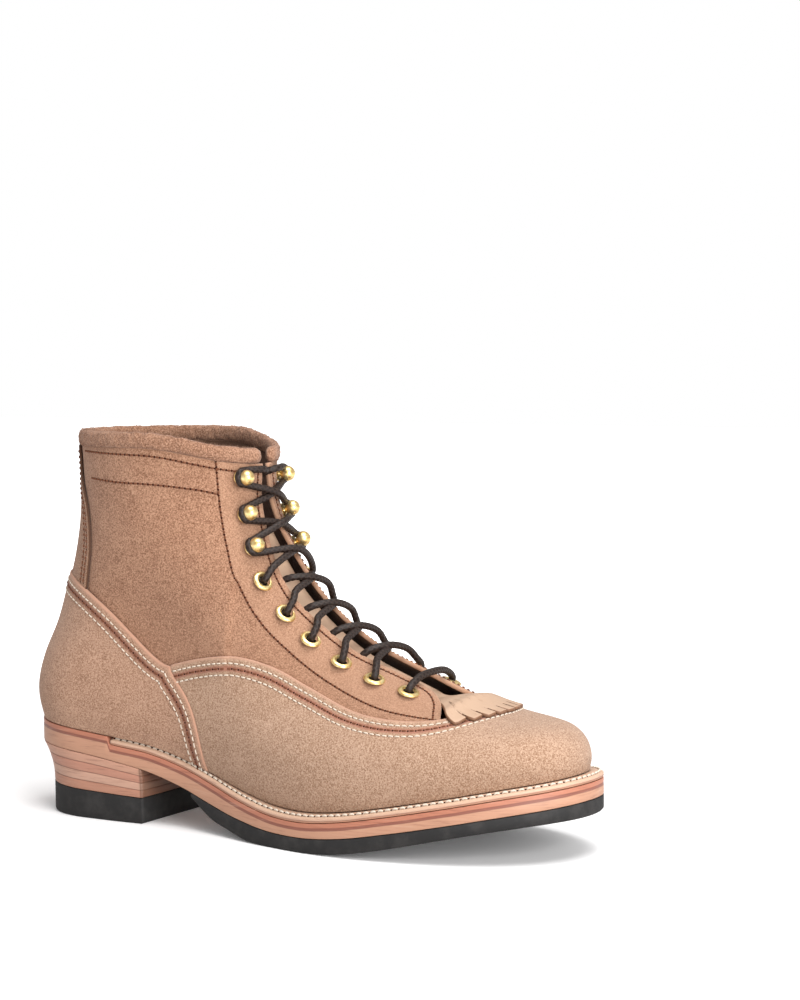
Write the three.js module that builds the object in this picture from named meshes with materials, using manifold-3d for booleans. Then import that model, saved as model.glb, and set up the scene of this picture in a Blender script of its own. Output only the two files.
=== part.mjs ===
import * as THREE from "three";
import { mergeVertices } from "three/addons/utils/BufferGeometryUtils.js";
import Module from "manifold-3d";

// Logger boot, right foot. Millimetres, toe along +X, inner side of the foot along +Y, floor at z = 0.

// Driving sizes
const LAST_LENGTH = 300; // heel to toe along the lower edge of the upper
const BALL_WIDTH = 90; // upper across the ball of the foot
const SHAFT_WIDTH = 84; // upper across the calf opening
const SEAT_HEIGHT = 47.5; // floor to the upper's lower edge at the heel
const BOOT_HEIGHT = 192; // floor to the top of the collar roll
const TOE_SWING = 5; // sideways lean of the toe towards the inner side
const THROAT_GAP = 25; // distance between the two lace facings
const TOE_SPRING = 20; // height of the rubber's underside at the toe
const LEATHER = 2.2; // wall of the upper
const OVERLAY = 1.6; // vamp and kiltie leather
const COUNTER = 2.3; // counter cover leather
const BACKSTAY = 1.4; // strip up the back of the shaft
const TONGUE = 2; // tongue leather
const COLLAR_DROP = 9; // how much lower the collar is in front
const COLLAR_ROLL = 7.7; // height of the collar roll
const COLLAR_BULGE = 1.4; // how far the roll stands past the wall on each side
const WELT = 3.4; // welt leather
const WELT_TUCK = 10; // width of the welt under the insole
const MIDSOLE = 7.6; // leather midsole at the forefoot
const SOLE_REACH = 8.5; // how far the sole stands out past the last at the toe
const INSOLE = 2.6; // insole leather
const HEEL_BREAST = 80; // heel back to the front face of the heel
const HALF_SOLE_START = 111; // heel back to the skived end of the rubber half sole
const LIFT_HEIGHT = 12.6; // rubber top piece at the heel's front face
const LIFT_RISE = 2.8; // how much thicker the top piece is at the back
const HEEL_UNDERCUT = 6.7; // how far the heel's back slopes in
const WELT_START = 61; // heel back to the cut ends of the welt
const EYELET_RADIUS = 5.2;
const EYELET_HOLE = 2.7;
const HOOK_HEIGHT = 8.9;
const HOOK_HEAD = 3.8; // radius of a hook's ball
const HOOK_STEM = 1.5; // radius of a hook's stem
const LACE_RADIUS = 1.9;
const GAP = 0.3; // clearance between pieces that touch
const BEND_GAP = 0.72; // and between bent leathers, measured at their corner points
const SEAM_GAP = 0.45; // and between the bent levels of the sole
const HEEL_REST = 46; // heel back to the origin, the middle of the heel's underside

const SHAFT_RISE = BOOT_HEIGHT - SEAT_HEIGHT;

// Short tables, in shares of the sizes above
const table = (columns, rows) =>
  rows.map((row) => Object.fromEntries(columns.map((name, i) => [name, row[i]])));

// Lower edge of the upper: along is a share of LAST_LENGTH, height of SEAT_HEIGHT, half widths of BALL_WIDTH
const FEATHER_LINE = table(["along", "height", "outer", "inner"], [
  [0.0, 1.0, 0.344, 0.344],
  [0.117, 0.943, 0.344, 0.344],
  [0.217, 0.88, 0.344, 0.328],
  [0.283, 0.827, 0.333, 0.306],
  [0.35, 0.726, 0.333, 0.3],
  [0.417, 0.602, 0.361, 0.317],
  [0.483, 0.484, 0.406, 0.356],
  [0.55, 0.4, 0.45, 0.411],
  [0.617, 0.383, 0.489, 0.456],
  [0.683, 0.425, 0.506, 0.489],
  [0.767, 0.518, 0.5, 0.494],
  [0.85, 0.621, 0.478, 0.478],
  [0.933, 0.724, 0.444, 0.428],
  [1.0, 0.796, 0.422, 0.394],
]);

// Centre line over toe, instep and shaft front: rise above the lower edge is a share of SHAFT_RISE
const RIDGE_LINE = table(["along", "rise"], [
  [1.0, 0.0],
  [1.003, 0.036],
  [0.998, 0.077],
  [0.983, 0.118],
  [0.958, 0.152],
  [0.928, 0.176],
  [0.897, 0.199],
  [0.868, 0.223],
  [0.838, 0.253],
  [0.807, 0.291],
  [0.77, 0.341],
  [0.73, 0.394],
  [0.687, 0.447],
  [0.643, 0.501],
  [0.603, 0.557],
  [0.565, 0.614],
  [0.532, 0.668],
  [0.502, 0.728],
  [0.478, 0.792],
  [0.461, 0.851],
  [0.45, 0.918],
  [0.447, 0.997],
  [0.448, 1.088],
  [0.45, 1.179],
]);

// Level sections of heel and shaft: rise above the seat is a share of SHAFT_RISE, back of LAST_LENGTH,
// half widths and the depths of the rounded back and front of SHAFT_WIDTH
const LEVELS = table(["rise", "back", "outer", "inner", "backDepth", "frontDepth"], [
  [-0.066, 0.023, 0.393, 0.381, 0.429, 0.714],
  [0.003, 0.02, 0.399, 0.381, 0.429, 0.714],
  [0.1, 0.015, 0.417, 0.399, 0.452, 0.714],
  [0.211, 0.028, 0.423, 0.405, 0.476, 0.714],
  [0.329, 0.054, 0.423, 0.405, 0.524, 0.714],
  [0.446, 0.073, 0.429, 0.417, 0.583, 0.714],
  [0.571, 0.092, 0.452, 0.446, 0.643, 0.714],
  [0.709, 0.105, 0.476, 0.476, 0.69, 0.762],
  [0.848, 0.107, 0.488, 0.482, 0.714, 0.798],
  [1.0, 0.103, 0.5, 0.494, 0.738, 0.81],
]);

// How far the upper swells past its lower edge: rise is a share of SHAFT_RISE, out of BALL_WIDTH
const SWELL = table(["rise", "out"], [
  [-0.07, -0.01],
  [0.0, 0.0],
  [0.055, 0.029],
  [0.11, 0.043],
  [0.18, 0.048],
  [0.28, 0.038],
  [0.41, 0.017],
  [0.62, 0.0],
]);

// Half width of the lace opening: along is a share of the centre line up to the collar, half of THROAT_GAP
const THROAT = table(["along", "half"], [
  [0.0, 0.8],
  [0.2, 1.1],
  [0.246, 1.06],
  [0.27, 0.92],
  [0.304, 0.68],
  [0.347, 0.46],
  [0.414, 0.43],
  [0.507, 0.48],
  [0.605, 0.49],
  [0.719, 0.505],
  [0.782, 0.44],
  [0.825, 0.365],
  [0.863, 0.285],
  [0.922, 0.2],
  [1.0, 0.11],
]);
const THROAT_END = 0.246;

// Cut edges of the overlays in side view: along is a share of LAST_LENGTH, rise of SHAFT_RISE above the seat
const VAMP_EDGE = table(["along", "rise"], [
  [0.325, 0.216],
  [0.393, 0.25],
  [0.45, 0.265],
  [0.525, 0.237],
  [0.593, 0.18],
  [0.683, 0.113],
  [0.762, 0.09],
  [0.808, 0.087],
  [0.84, 0.093],
  [0.865, 0.105],
]);
const COUNTER_TOP = table(["along", "rise"], [
  [0.06, 0.51],
  [0.11, 0.498],
  [0.165, 0.457],
  [0.209, 0.406],
  [0.25, 0.344],
  [0.284, 0.293],
  [0.311, 0.254],
  [0.335, 0.217],
]);
const COUNTER_FRONT = table(["rise", "along"], [
  [-0.12, 0.403],
  [0.016, 0.391],
  [0.086, 0.381],
  [0.16, 0.361],
  [0.217, 0.335],
]);
const BACKSTAY_EDGE = table(["rise", "along"], [
  [0.44, 0.163],
  [0.5, 0.168],
  [0.62, 0.174],
  [0.74, 0.164],
  [0.85, 0.137],
  [0.95, 0.13],
]);

// Sole: along is a share of LAST_LENGTH, reach of SOLE_REACH, thickness of MIDSOLE, underside of TOE_SPRING
const SOLE_EDGE = table(["along", "reach"], [
  [-0.02, 0.36],
  [0.2, 0.36],
  [0.36, 0.45],
  [0.5, 0.75],
  [0.62, 0.92],
  [0.8, 0.95],
  [1.03, 1.0],
]);
const MIDSOLE_DEPTH = table(["along", "thickness"], [
  [-0.02, 0.95],
  [0.2, 1.0],
  [0.33, 1.25],
  [0.42, 1.3],
  [0.5, 1.1],
  [0.58, 0.93],
  [0.7, 0.97],
  [1.05, 1.02],
]);
const RUBBER_UNDERSIDE = table(["along", "height"], [
  [0.37, 0.8],
  [0.413, 0.38],
  [0.453, 0.2],
  [0.5, 0.03],
  [0.53, 0.0],
  [0.62, 0.0],
  [0.667, 0.045],
  [0.72, 0.16],
  [0.773, 0.32],
  [0.827, 0.5],
  [0.873, 0.65],
  [0.937, 0.83],
  [0.993, 0.95],
  [1.03, 1.0],
]);

// Kiltie: along is a share of the centre line up to the collar, half its half width as a share of THROAT_GAP
const KILTIE_SHAPE = table(["along", "half"], [
  [0.2, 1.2],
  [0.245, 1.2],
  [0.27, 1.13],
  [0.287, 1.02],
  [0.31, 0.76],
  [0.338, 0.52],
  [0.357, 0.42],
  [0.38, 0.4],
  [0.41, 0.55],
  [0.5, 0.64],
  [0.64, 0.64],
  [0.76, 0.56],
  [0.87, 0.34],
]);

// Places of the fastenings: along is a share of the centre line up to the collar, out of THROAT_GAP
const place = ({ along, out }) => ({ along, side: out * THROAT_GAP });
const EYELETS = table(["along", "out"], [
  [0.772, 0.79],
  [0.695, 0.785],
  [0.622, 0.795],
  [0.544, 0.81],
  [0.466, 0.835],
  [0.39, 0.785],
]).map(place);
const HOOKS = table(["along", "out"], [
  [0.839, 0.745],
  [0.904, 0.68],
  [0.977, 0.66],
]).map(place);

// A smooth curve through two columns of a table, straight beyond its ends
function curve(rows, key, value) {
  const xs = rows.map((row) => row[key]);
  const ys = rows.map((row) => row[value]);
  const last = xs.length - 1;
  const chord = (i) => (ys[i + 1] - ys[i]) / (xs[i + 1] - xs[i]);
  const slopes = xs.map((x, i) => {
    if (i === 0) return chord(0);
    if (i === last) return chord(last - 1);
    const before = x - xs[i - 1];
    const after = xs[i + 1] - x;
    return (chord(i - 1) * after + chord(i) * before) / (before + after);
  });
  return (x) => {
    let i = 0;
    while (i < last - 1 && x > xs[i + 1]) i += 1;
    const span = xs[i + 1] - xs[i];
    const t = (x - xs[i]) / span;
    if (t < 0) return ys[i] + slopes[i] * (x - xs[i]);
    if (t > 1) return ys[i + 1] + slopes[i + 1] * (x - xs[i + 1]);
    const t2 = t * t;
    const t3 = t2 * t;
    return (
      (2 * t3 - 3 * t2 + 1) * ys[i] +
      (t3 - 2 * t2 + t) * span * slopes[i] +
      (3 * t2 - 2 * t3) * ys[i + 1] +
      (t3 - t2) * span * slopes[i + 1]
    );
  };
}

// Straight interpolation in a rising list
function lookup(xs, ys, x) {
  let low = 0;
  let high = xs.length - 1;
  if (x <= xs[low]) return ys[low];
  if (x >= xs[high]) return ys[high];
  while (high - low > 1) {
    const middle = (low + high) >> 1;
    if (xs[middle] > x) high = middle;
    else low = middle;
  }
  const t = (x - xs[low]) / (xs[high] - xs[low] || 1);
  return ys[low] + (ys[high] - ys[low]) * t;
}

const clamp = (x, low, high) => Math.min(high, Math.max(low, x));
const ease = (t) => clamp(t, 0, 1) ** 2 * (3 - 2 * clamp(t, 0, 1));
const spread = (count, f = (t) => t) => Array.from({ length: count + 1 }, (_, i) => f(i / count));

// The value of t between low and high where a falling or rising function passes a target
function solve(f, target, low, high) {
  const rising = f(high) > f(low);
  for (let i = 0; i < 26; i += 1) {
    const middle = (low + high) / 2;
    if (f(middle) > target === rising) high = middle;
    else low = middle;
  }
  return (low + high) / 2;
}

// The last: lower edge, centre line, levels
const featherRise = curve(FEATHER_LINE, "along", "height");
const featherHalf = {
  "-1": curve(FEATHER_LINE, "along", "outer"),
  1: curve(FEATHER_LINE, "along", "inner"),
};
const featherHeight = (x) => SEAT_HEIGHT * featherRise(x / LAST_LENGTH);

const levelShare = (z) => (z - SEAT_HEIGHT) / SHAFT_RISE;
const levelBack = curve(LEVELS, "rise", "back");
const levelHalf = { "-1": curve(LEVELS, "rise", "outer"), 1: curve(LEVELS, "rise", "inner") };
const levelBackDepth = curve(LEVELS, "rise", "backDepth");
const levelFrontDepth = curve(LEVELS, "rise", "frontDepth");
const backAt = (z) => LAST_LENGTH * levelBack(levelShare(z));
const swell = curve(SWELL, "rise", "out");

const ridgeRows = RIDGE_LINE.map(({ along, rise }) => {
  const x = along * LAST_LENGTH;
  return { x, z: featherHeight(Math.min(x, LAST_LENGTH)) + rise * SHAFT_RISE, arc: 0 };
});
ridgeRows.forEach((row, i) => {
  if (i > 0) row.arc = ridgeRows[i - 1].arc + Math.hypot(row.x - ridgeRows[i - 1].x, row.z - ridgeRows[i - 1].z);
});
const ridgeX = curve(ridgeRows, "arc", "x");
const ridgeZ = curve(ridgeRows, "arc", "z");
const RIDGE_SAMPLES = 1500;
const ridgeLength = ridgeRows[ridgeRows.length - 1].arc;
const ridgeArcs = spread(RIDGE_SAMPLES, (t) => t * ridgeLength);
const frontLine = ridgeArcs.map((arc) => ({ x: ridgeX(arc), z: ridgeZ(arc) }));
frontLine.forEach((point, i) => {
  if (i > 0) point.z = Math.max(point.z, frontLine[i - 1].z);
});
const frontZs = frontLine.map((point) => point.z);
const frontXs = frontLine.map((point) => point.x);
const toeTip = frontXs.indexOf(Math.max(...frontXs));
const overLine = frontLine.slice(toeTip);
overLine.forEach((point, i) => {
  if (i > 0) point.x = Math.min(point.x, overLine[i - 1].x);
});
overLine.reverse();
const overXs = overLine.map((point) => point.x);
const overZs = overLine.map((point) => point.z);
const frontAt = (z) => lookup(frontZs, frontXs, z);
const SHIN_STEEPNESS = 8; // beyond the shaft front the top is out of reach
const topAt = (x) => lookup(overXs, overZs, x) + Math.max(0, overXs[0] - x) * SHIN_STEEPNESS;

const CAP_POWER = 2.15; // roundness of the cross-sections
const CAP_SHARE = 0.82; // share of the height that rounds over towards the centre line
const CAP_LIMIT = 85; // and the most it may be
const BLEND_START = 22; // above the lower edge, where foot sections begin to turn into shaft sections
const BLEND_SPAN = 60;
const rounded = (t) => (1 - (1 - clamp(t, 0, 1)) ** CAP_POWER) ** (1 / CAP_POWER);

// Half width of the last at a point of its side view; side is -1 outer, 1 inner
function halfWidth(x, z, side) {
  const rise = z - featherHeight(x);
  const level = levelShare(z);
  const foot = BALL_WIDTH * (featherHalf[side](x / LAST_LENGTH) + swell(rise / SHAFT_RISE));
  const shaft = SHAFT_WIDTH * levelHalf[side](level);
  const blend = ease((rise - BLEND_START) / BLEND_SPAN);
  const top = topAt(x);
  const cap = CAP_SHARE * (top - featherHeight(x));
  const depthZ = cap / (1 + (cap / CAP_LIMIT) ** 4) ** 0.25;
  const depthX = SHAFT_WIDTH * levelFrontDepth(level);
  const dx = Math.max(frontAt(z) - x, 0) / depthX;
  const dz = Math.max(top - z, 0) / depthZ;
  const front = (dx * dz) / Math.max(Math.hypot(dx, dz), 1e-9);
  const back = (x - backAt(z)) / (SHAFT_WIDTH * levelBackDepth(level));
  return (foot * (1 - blend) + shaft * blend) * rounded(front) * rounded(back);
}

const SWING_START = 0.5;
const centreAt = (x) => TOE_SWING * ease((x / LAST_LENGTH - SWING_START) / (1 - SWING_START));
const onLast = (x, z, side) => new THREE.Vector3(x, centreAt(x) + side * halfWidth(x, z, side), z);

// Collar line and the arc of the centre line where it ends
const COLLAR_LEVEL = BOOT_HEIGHT - COLLAR_ROLL;
const collarAt = (x) => COLLAR_LEVEL - GAP - COLLAR_DROP * ease((x / LAST_LENGTH - 0.28) / 0.19) ** 1.2;
const collarArc = solve((arc) => ridgeZ(arc) - collarAt(ridgeX(arc)), 0, ridgeLength * 0.8, ridgeLength);

// A patch of the side view between four edges; every edge maps 0..1 to [x, z]
function patch({ bottom, top, back, front }) {
  const corner = { bb: bottom(0), bf: bottom(1), tb: top(0), tf: top(1) };
  return (c, v) =>
    [0, 1].map(
      (k) =>
        (1 - v) * bottom(c)[k] +
        v * top(c)[k] +
        (1 - c) * back(v)[k] +
        c * front(v)[k] -
        (1 - c) * (1 - v) * corner.bb[k] -
        c * (1 - v) * corner.bf[k] -
        (1 - c) * v * corner.tb[k] -
        c * v * corner.tf[k],
    );
}

const mix = (a, b, t) => a + (b - a) * t;
const seatZ = solve((z) => featherHeight(backAt(z)) - z, 0, SEAT_HEIGHT * 0.9, SEAT_HEIGHT * 1.1);
const seatX = backAt(seatZ);
const alongFeather = (from, to) => (c) => {
  const x = mix(from, to, c);
  return [x, featherHeight(x)];
};
const collarBackZ = solve((z) => collarAt(backAt(z)) - z, 0, BOOT_HEIGHT * 0.8, BOOT_HEIGHT);

const wholeUpper = patch({
  bottom: alongFeather(seatX, ridgeX(0)),
  top: (c) => {
    const x = mix(backAt(collarBackZ), ridgeX(collarArc), c);
    return [x, collarAt(x)];
  },
  back: (v) => {
    const z = mix(seatZ, collarBackZ, v);
    return [backAt(z), z];
  },
  front: (v) => [ridgeX(v * collarArc), ridgeZ(v * collarArc)],
});

const throatHalfShare = curve(THROAT, "along", "half");
const throatHalf = (v) => THROAT_GAP * throatHalfShare(v);
const facingShare = { "-1": new Map(), 1: new Map() };
function facingAt(v, side) {
  const known = facingShare[side];
  if (!known.has(v)) {
    known.set(v, solve((c) => halfWidth(...wholeUpper(c, v), side), throatHalf(v), 0.5, 1));
  }
  return known.get(v);
}

// The upper's outer face. u runs from the outer facing (-1) round the back (0) to the inner facing (1), and
// BRIDGE further on each side it reaches the centre line
const BRIDGE = 0.12;
const COLUMN_EVENNESS = 0.4;
function upperFace(u, v) {
  const turn = 2 * (1 + BRIDGE);
  const wrapped = u - turn * Math.round(u / turn);
  const side = wrapped < 0 ? -1 : 1;
  const far = Math.abs(wrapped);
  const facing = facingAt(v, side);
  const c =
    far <= 1
      ? facing * mix((1 - Math.cos(Math.PI * far)) / 2, far, COLUMN_EVENNESS * far)
      : 1 - (1 - facing) * Math.max(0, 1 - (far - 1) / BRIDGE) ** CAP_POWER;
  return onLast(...wholeUpper(c, v), side);
}

// Outward unit normal of a face, from two short steps across it
const STEP = 0.004;
function normalOf(face, u, v, turned) {
  const low = Math.max(v - STEP, 0);
  const high = Math.min(v + STEP, 1);
  const across = face(u + STEP, v).sub(face(u - STEP, v));
  const up = face(u, high).sub(face(u, low));
  return across.cross(up).normalize().multiplyScalar(turned);
}

// One closed mesh from a list of triangles' corner points, with its faces pointing out
function closedMesh(corners) {
  const geometry = new THREE.BufferGeometry();
  const positions = new Float32Array(corners.length * 3);
  corners.forEach((p, i) => p.toArray(positions, i * 3));
  geometry.setAttribute("position", new THREE.BufferAttribute(positions, 3));
  return outward(mergeVertices(geometry, 1e-3));
}

function outward(geometry) {
  const index = Array.from(geometry.index.array);
  const point = (i) => new THREE.Vector3().fromBufferAttribute(geometry.attributes.position, i);
  const kept = [];
  let volume = 0;
  for (let i = 0; i < index.length; i += 3) {
    const [a, b, c] = index.slice(i, i + 3);
    if (a !== b && b !== c && c !== a) {
      kept.push(a, b, c);
      volume += point(a).dot(point(b).cross(point(c)));
    }
  }
  if (volume < 0) kept.reverse();
  geometry.setIndex(kept);
  return geometry;
}

const quad = (out, a, b, c, d) => out.push(a, b, c, a, c, d);

// A leather sheet: a grid on a face, given an outer and an inner side and walls round every free edge.
// settle may move the points of the first and last rows, keep says which cells are there, and ring says
// in which rows the first and last columns are the same line
function sheet({ face, us, vs, outer, inner, turned, normal, settle, keep = () => true, ring = () => false }) {
  const layer = (offset) =>
    vs.map((v, j) =>
      us.map((u) => {
        const out = normal ? normal(u, v) : normalOf(face, u, v, turned);
        const point = face(u, v).addScaledVector(out, offset(u, v));
        return settle ? settle(point, j === 0, j === vs.length - 1) : point;
      }),
    );
  const out = layer(outer);
  const back = layer(inner);
  const corners = [];
  const there = (i, j) => {
    if (j < 0 || j >= vs.length - 1) return false;
    if (i < 0 || i >= us.length - 1) return ring(j);
    return keep(i, j);
  };
  for (let j = 0; j < vs.length - 1; j += 1) {
    for (let i = 0; i < us.length - 1; i += 1) {
      if (keep(i, j)) {
        quad(corners, out[j][i], out[j][i + 1], out[j + 1][i + 1], out[j + 1][i]);
        quad(corners, back[j][i], back[j + 1][i], back[j + 1][i + 1], back[j][i + 1]);
        const edges = [
          [there(i, j - 1), j, i, j, i + 1],
          [there(i + 1, j), j, i + 1, j + 1, i + 1],
          [there(i, j + 1), j + 1, i + 1, j + 1, i],
          [there(i - 1, j), j + 1, i, j, i],
        ];
        edges
          .filter(([covered]) => !covered)
          .forEach(([, j0, i0, j1, i1]) => quad(corners, out[j1][i1], out[j0][i0], back[j0][i0], back[j1][i1]));
      }
    }
  }
  return closedMesh(corners);
}

// The first row stands on the sole, the last row of the shaft is level under the collar roll
const onSole = (point, first) => (first ? point.setZ(featherHeight(point.x)) : point);
const onSoleAndLevel = (point, first, last) => {
  if (last) point.z = collarAt(point.x);
  return onSole(point, first);
};

// Upper: one hollow wall, closed over the toe, open at throat, collar and underneath
const UPPER_COLUMNS = 22;
const UPPER_ROWS = [0, 0.025, 0.05, 0.08, 0.115, 0.155, 0.2, THROAT_END, 0.265, 0.284, 0.304, 0.325, 0.35, 0.4, 0.46,
  0.525, 0.59, 0.655, 0.719, 0.782, 0.85, 0.925, 1];

function upperGeometry() {
  const bridge = [1 + BRIDGE, 1 + BRIDGE / 2];
  const us = [...bridge.map((u) => -u), ...spread(2 * UPPER_COLUMNS, (t) => 2 * t - 1), ...bridge.reverse()];
  const open = (j) => UPPER_ROWS[j] >= THROAT_END;
  const inBridge = (i) => i < bridge.length || i >= us.length - 1 - bridge.length;
  return sheet({
    face: upperFace,
    us,
    vs: UPPER_ROWS,
    outer: () => 0,
    inner: () => -LEATHER,
    turned: -1,
    settle: onSoleAndLevel,
    keep: (i, j) => !(open(j) && inBridge(i)),
    ring: (j) => !open(j),
  });
}

// Counter cover round the heel
const counterTopRise = curve(COUNTER_TOP, "along", "rise");
const counterFrontAlong = curve(COUNTER_FRONT, "rise", "along");
const counterTop = (x) => SEAT_HEIGHT + SHAFT_RISE * counterTopRise(x / LAST_LENGTH);
const counterFront = (z) => LAST_LENGTH * counterFrontAlong(levelShare(z));
const counterFoot = solve((x) => counterFront(featherHeight(x)) - x, 0, LAST_LENGTH * 0.3, LAST_LENGTH * 0.5);
const counterCorner = LAST_LENGTH * 0.335;
const counterBackZ = solve((z) => counterTop(backAt(z)) - z, 0, BOOT_HEIGHT * 0.5, BOOT_HEIGHT * 0.75);

const counterPatch = patch({
  bottom: alongFeather(seatX, counterFoot),
  top: (c) => {
    const x = mix(backAt(counterBackZ), counterCorner, c);
    return [x, mix(counterTop(x), counterTop(counterCorner), c ** 6)];
  },
  back: (v) => {
    const z = mix(seatZ, counterBackZ, v);
    return [backAt(z), z];
  },
  front: (v) => {
    const z = mix(featherHeight(counterFoot), counterTop(counterCorner), v);
    return [mix(counterFront(z), counterCorner, v ** 6), z];
  },
});

function counterGeometry() {
  const face = (u, v) => onLast(...counterPatch(1 - Math.cos((Math.PI / 2) * Math.abs(u)), v), u < 0 ? -1 : 1);
  return sheet({
    face,
    us: spread(28, (t) => 2 * t - 1),
    vs: spread(7),
    outer: () => BEND_GAP + COUNTER,
    inner: () => BEND_GAP,
    turned: -1,
    settle: onSole,
  });
}

// Backstay: the strip up the back of the shaft, from the counter cover to the collar roll
const backstayAlong = curve(BACKSTAY_EDGE, "rise", "along");
const backstayEdge = (z) => LAST_LENGTH * backstayAlong(levelShare(z));
const BACKSTAY_CLEAR = 0.8; // distance along the face to the counter cover's top edge

function backstayGeometry() {
  const foot = counterBackZ + BACKSTAY_CLEAR;
  const side = solve((z) => counterTop(backstayEdge(z)) + BACKSTAY_CLEAR - z, 0, BOOT_HEIGHT * 0.4, BOOT_HEIGHT * 0.8);
  const strip = patch({
    bottom: (c) => {
      const x = mix(backAt(foot), backstayEdge(side), c);
      return [x, mix(counterTop(x) + BACKSTAY_CLEAR, side, c ** 4)];
    },
    top: (c) => {
      const x = mix(backAt(collarBackZ), backstayEdge(collarBackZ), c);
      return [x, collarAt(x)];
    },
    back: (v) => {
      const z = mix(foot, collarBackZ, v);
      return [backAt(z), z];
    },
    front: (v) => {
      const z = mix(side, collarBackZ, v);
      return [backstayEdge(z), z];
    },
  });
  const face = (u, v) => onLast(...strip(1 - Math.cos((Math.PI / 2) * Math.abs(u)), v), u < 0 ? -1 : 1);
  return sheet({
    face,
    us: spread(10, (t) => 2 * t - 1),
    vs: spread(6),
    outer: () => BEND_GAP + BACKSTAY,
    inner: () => BEND_GAP,
    turned: -1,
  });
}

// Vamp: from the counter cover round the toe, with its cut edge in a U before the throat
const vampEdgeRise = curve(VAMP_EDGE, "along", "rise");
const vampEdge = (x) => SEAT_HEIGHT + SHAFT_RISE * vampEdgeRise(x / LAST_LENGTH);
const VAMP_CLEAR = 0.9; // distance in side view between the vamp and the counter cover
const VAMP_LIMIT = 0.24; // share of the centre line up to the collar that the vamp covers
const vampArc = VAMP_LIMIT * collarArc;

const vampPatch = (() => {
  const foot = counterFoot + VAMP_CLEAR;
  const top = counterCorner + VAMP_CLEAR;
  const topZ = vampEdge(top);
  return patch({
    bottom: alongFeather(foot, ridgeX(0)),
    top: (c) => {
      const x = mix(top, ridgeX(vampArc), c);
      return [x, mix(vampEdge(x), ridgeZ(vampArc), c ** 12)];
    },
    back: (v) => {
      const z = mix(featherHeight(foot), topZ, v);
      return [mix(counterFront(z) + VAMP_CLEAR, top, v ** 6), z];
    },
    front: (v) => [ridgeX(v * vampArc), ridgeZ(v * vampArc)],
  });
})();
const vampFace = (u, v) => onLast(...vampPatch(Math.cos((Math.PI / 2) * Math.abs(u)), v), u < 0 ? -1 : 1);

function vampGeometry() {
  return sheet({
    face: vampFace,
    us: spread(40, (t) => 2 * t - 1),
    vs: spread(7, (t) => t ** 1.1),
    outer: () => BEND_GAP + OVERLAY,
    inner: () => BEND_GAP,
    turned: 1,
    settle: onSole,
  });
}

// Points on the upper's face measured from the centre line: along is a share of the centre line up to the
// collar, across the signed distance from it, lift the height above the face
const INWARD_REACH = 60;
function ridgeFrame(along) {
  const arc = along * collarArc;
  const [x, z] = [ridgeX(arc), ridgeZ(arc)];
  const [tx, tz] = [ridgeX(arc + 1) - ridgeX(arc - 1), ridgeZ(arc + 1) - ridgeZ(arc - 1)];
  const size = Math.hypot(tx, tz);
  return { x, z, inX: -tz / size, inZ: tx / size };
}
function sideDirection(x, z, side) {
  const h = 0.25;
  const slopeX = (halfWidth(x + h, z, side) - halfWidth(x - h, z, side)) / (2 * h);
  const slopeZ = (halfWidth(x, z + h, side) - halfWidth(x, z - h, side)) / (2 * h);
  const lean = (centreAt(x + h) - centreAt(x - h)) / (2 * h);
  return new THREE.Vector3(-slopeX - side * lean, side, -slopeZ).normalize();
}
function onUpper(along, across, lift = 0) {
  const side = across < 0 ? -1 : 1;
  const { x, z, inX, inZ } = ridgeFrame(along);
  const width = (t) => halfWidth(x + inX * t, z + inZ * t, side);
  const depth = solve(width, Math.abs(across), 0, INWARD_REACH);
  const [px, pz] = [x + inX * depth, z + inZ * depth];
  const sampled = Math.max(depth, 0.4);
  const normal = sideDirection(x + inX * sampled, z + inZ * sampled, side);
  if (Math.abs(across) < 3) {
    const level = new THREE.Vector3(-inX, 0, -inZ);
    normal.lerp(level, 1 - Math.abs(across) / 3).normalize();
  }
  const point = new THREE.Vector3(px, centreAt(px) + across, pz);
  return { point: point.addScaledVector(normal, lift), normal };
}

// Tongue: under the facings, its loose top leaning back inside the shaft
const TONGUE_FOOT = 0.27;
const TONGUE_TOP = 1.01;
const TONGUE_HALF = 0.3; // half width as a share of SHAFT_WIDTH
const TONGUE_LEAN = 24; // how far its top leans back
const LACE_ROOM = 2 * LACE_RADIUS + BEND_GAP; // between facings and kiltie
const TONGUE_DEPTH = LEATHER + LACE_ROOM + OVERLAY + BEND_GAP; // its outer side under the upper's face

function tongueGeometry() {
  const half = SHAFT_WIDTH * TONGUE_HALF;
  const face = (u, v) => onUpper(mix(TONGUE_FOOT, TONGUE_TOP, v), u * half * mix(0.85, 1, v)).point;
  const lean = (v) => TONGUE_LEAN * ease((v - 0.62) / 0.38) ** 1.3;
  return sheet({
    face,
    us: spread(6, (t) => 2 * t - 1),
    vs: spread(12),
    outer: (u, v) => -TONGUE_DEPTH - lean(v),
    inner: (u, v) => -TONGUE_DEPTH - TONGUE - lean(v),
    turned: 1,
  });
}

// Kiltie: false tongue under the laces, coming out of the throat and lying over the vamp with a fringe
const kiltieHalfShare = curve(KILTIE_SHAPE, "along", "half");
const KILTIE_ROWS = [0.207, 0.228, 0.245, 0.262, 0.275, 0.287, 0.298, 0.31, 0.324, 0.338, 0.357, 0.38, 0.41, 0.52, 0.64,
  0.76, 0.87];
const FRINGE_TABS = 9;
const FRINGE_CUT = 0.024; // depth of the cuts between the tabs
const FRINGE_ROUNDING = 0.055; // how much further back the fringe ends at its sides
const KILTIE_DIVE = [0.3, 0.375]; // where it passes from above the vamp to under the facings
const KILTIE_STEP = [0.29, 0.31]; // where it comes down off the vamp's edge

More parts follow.
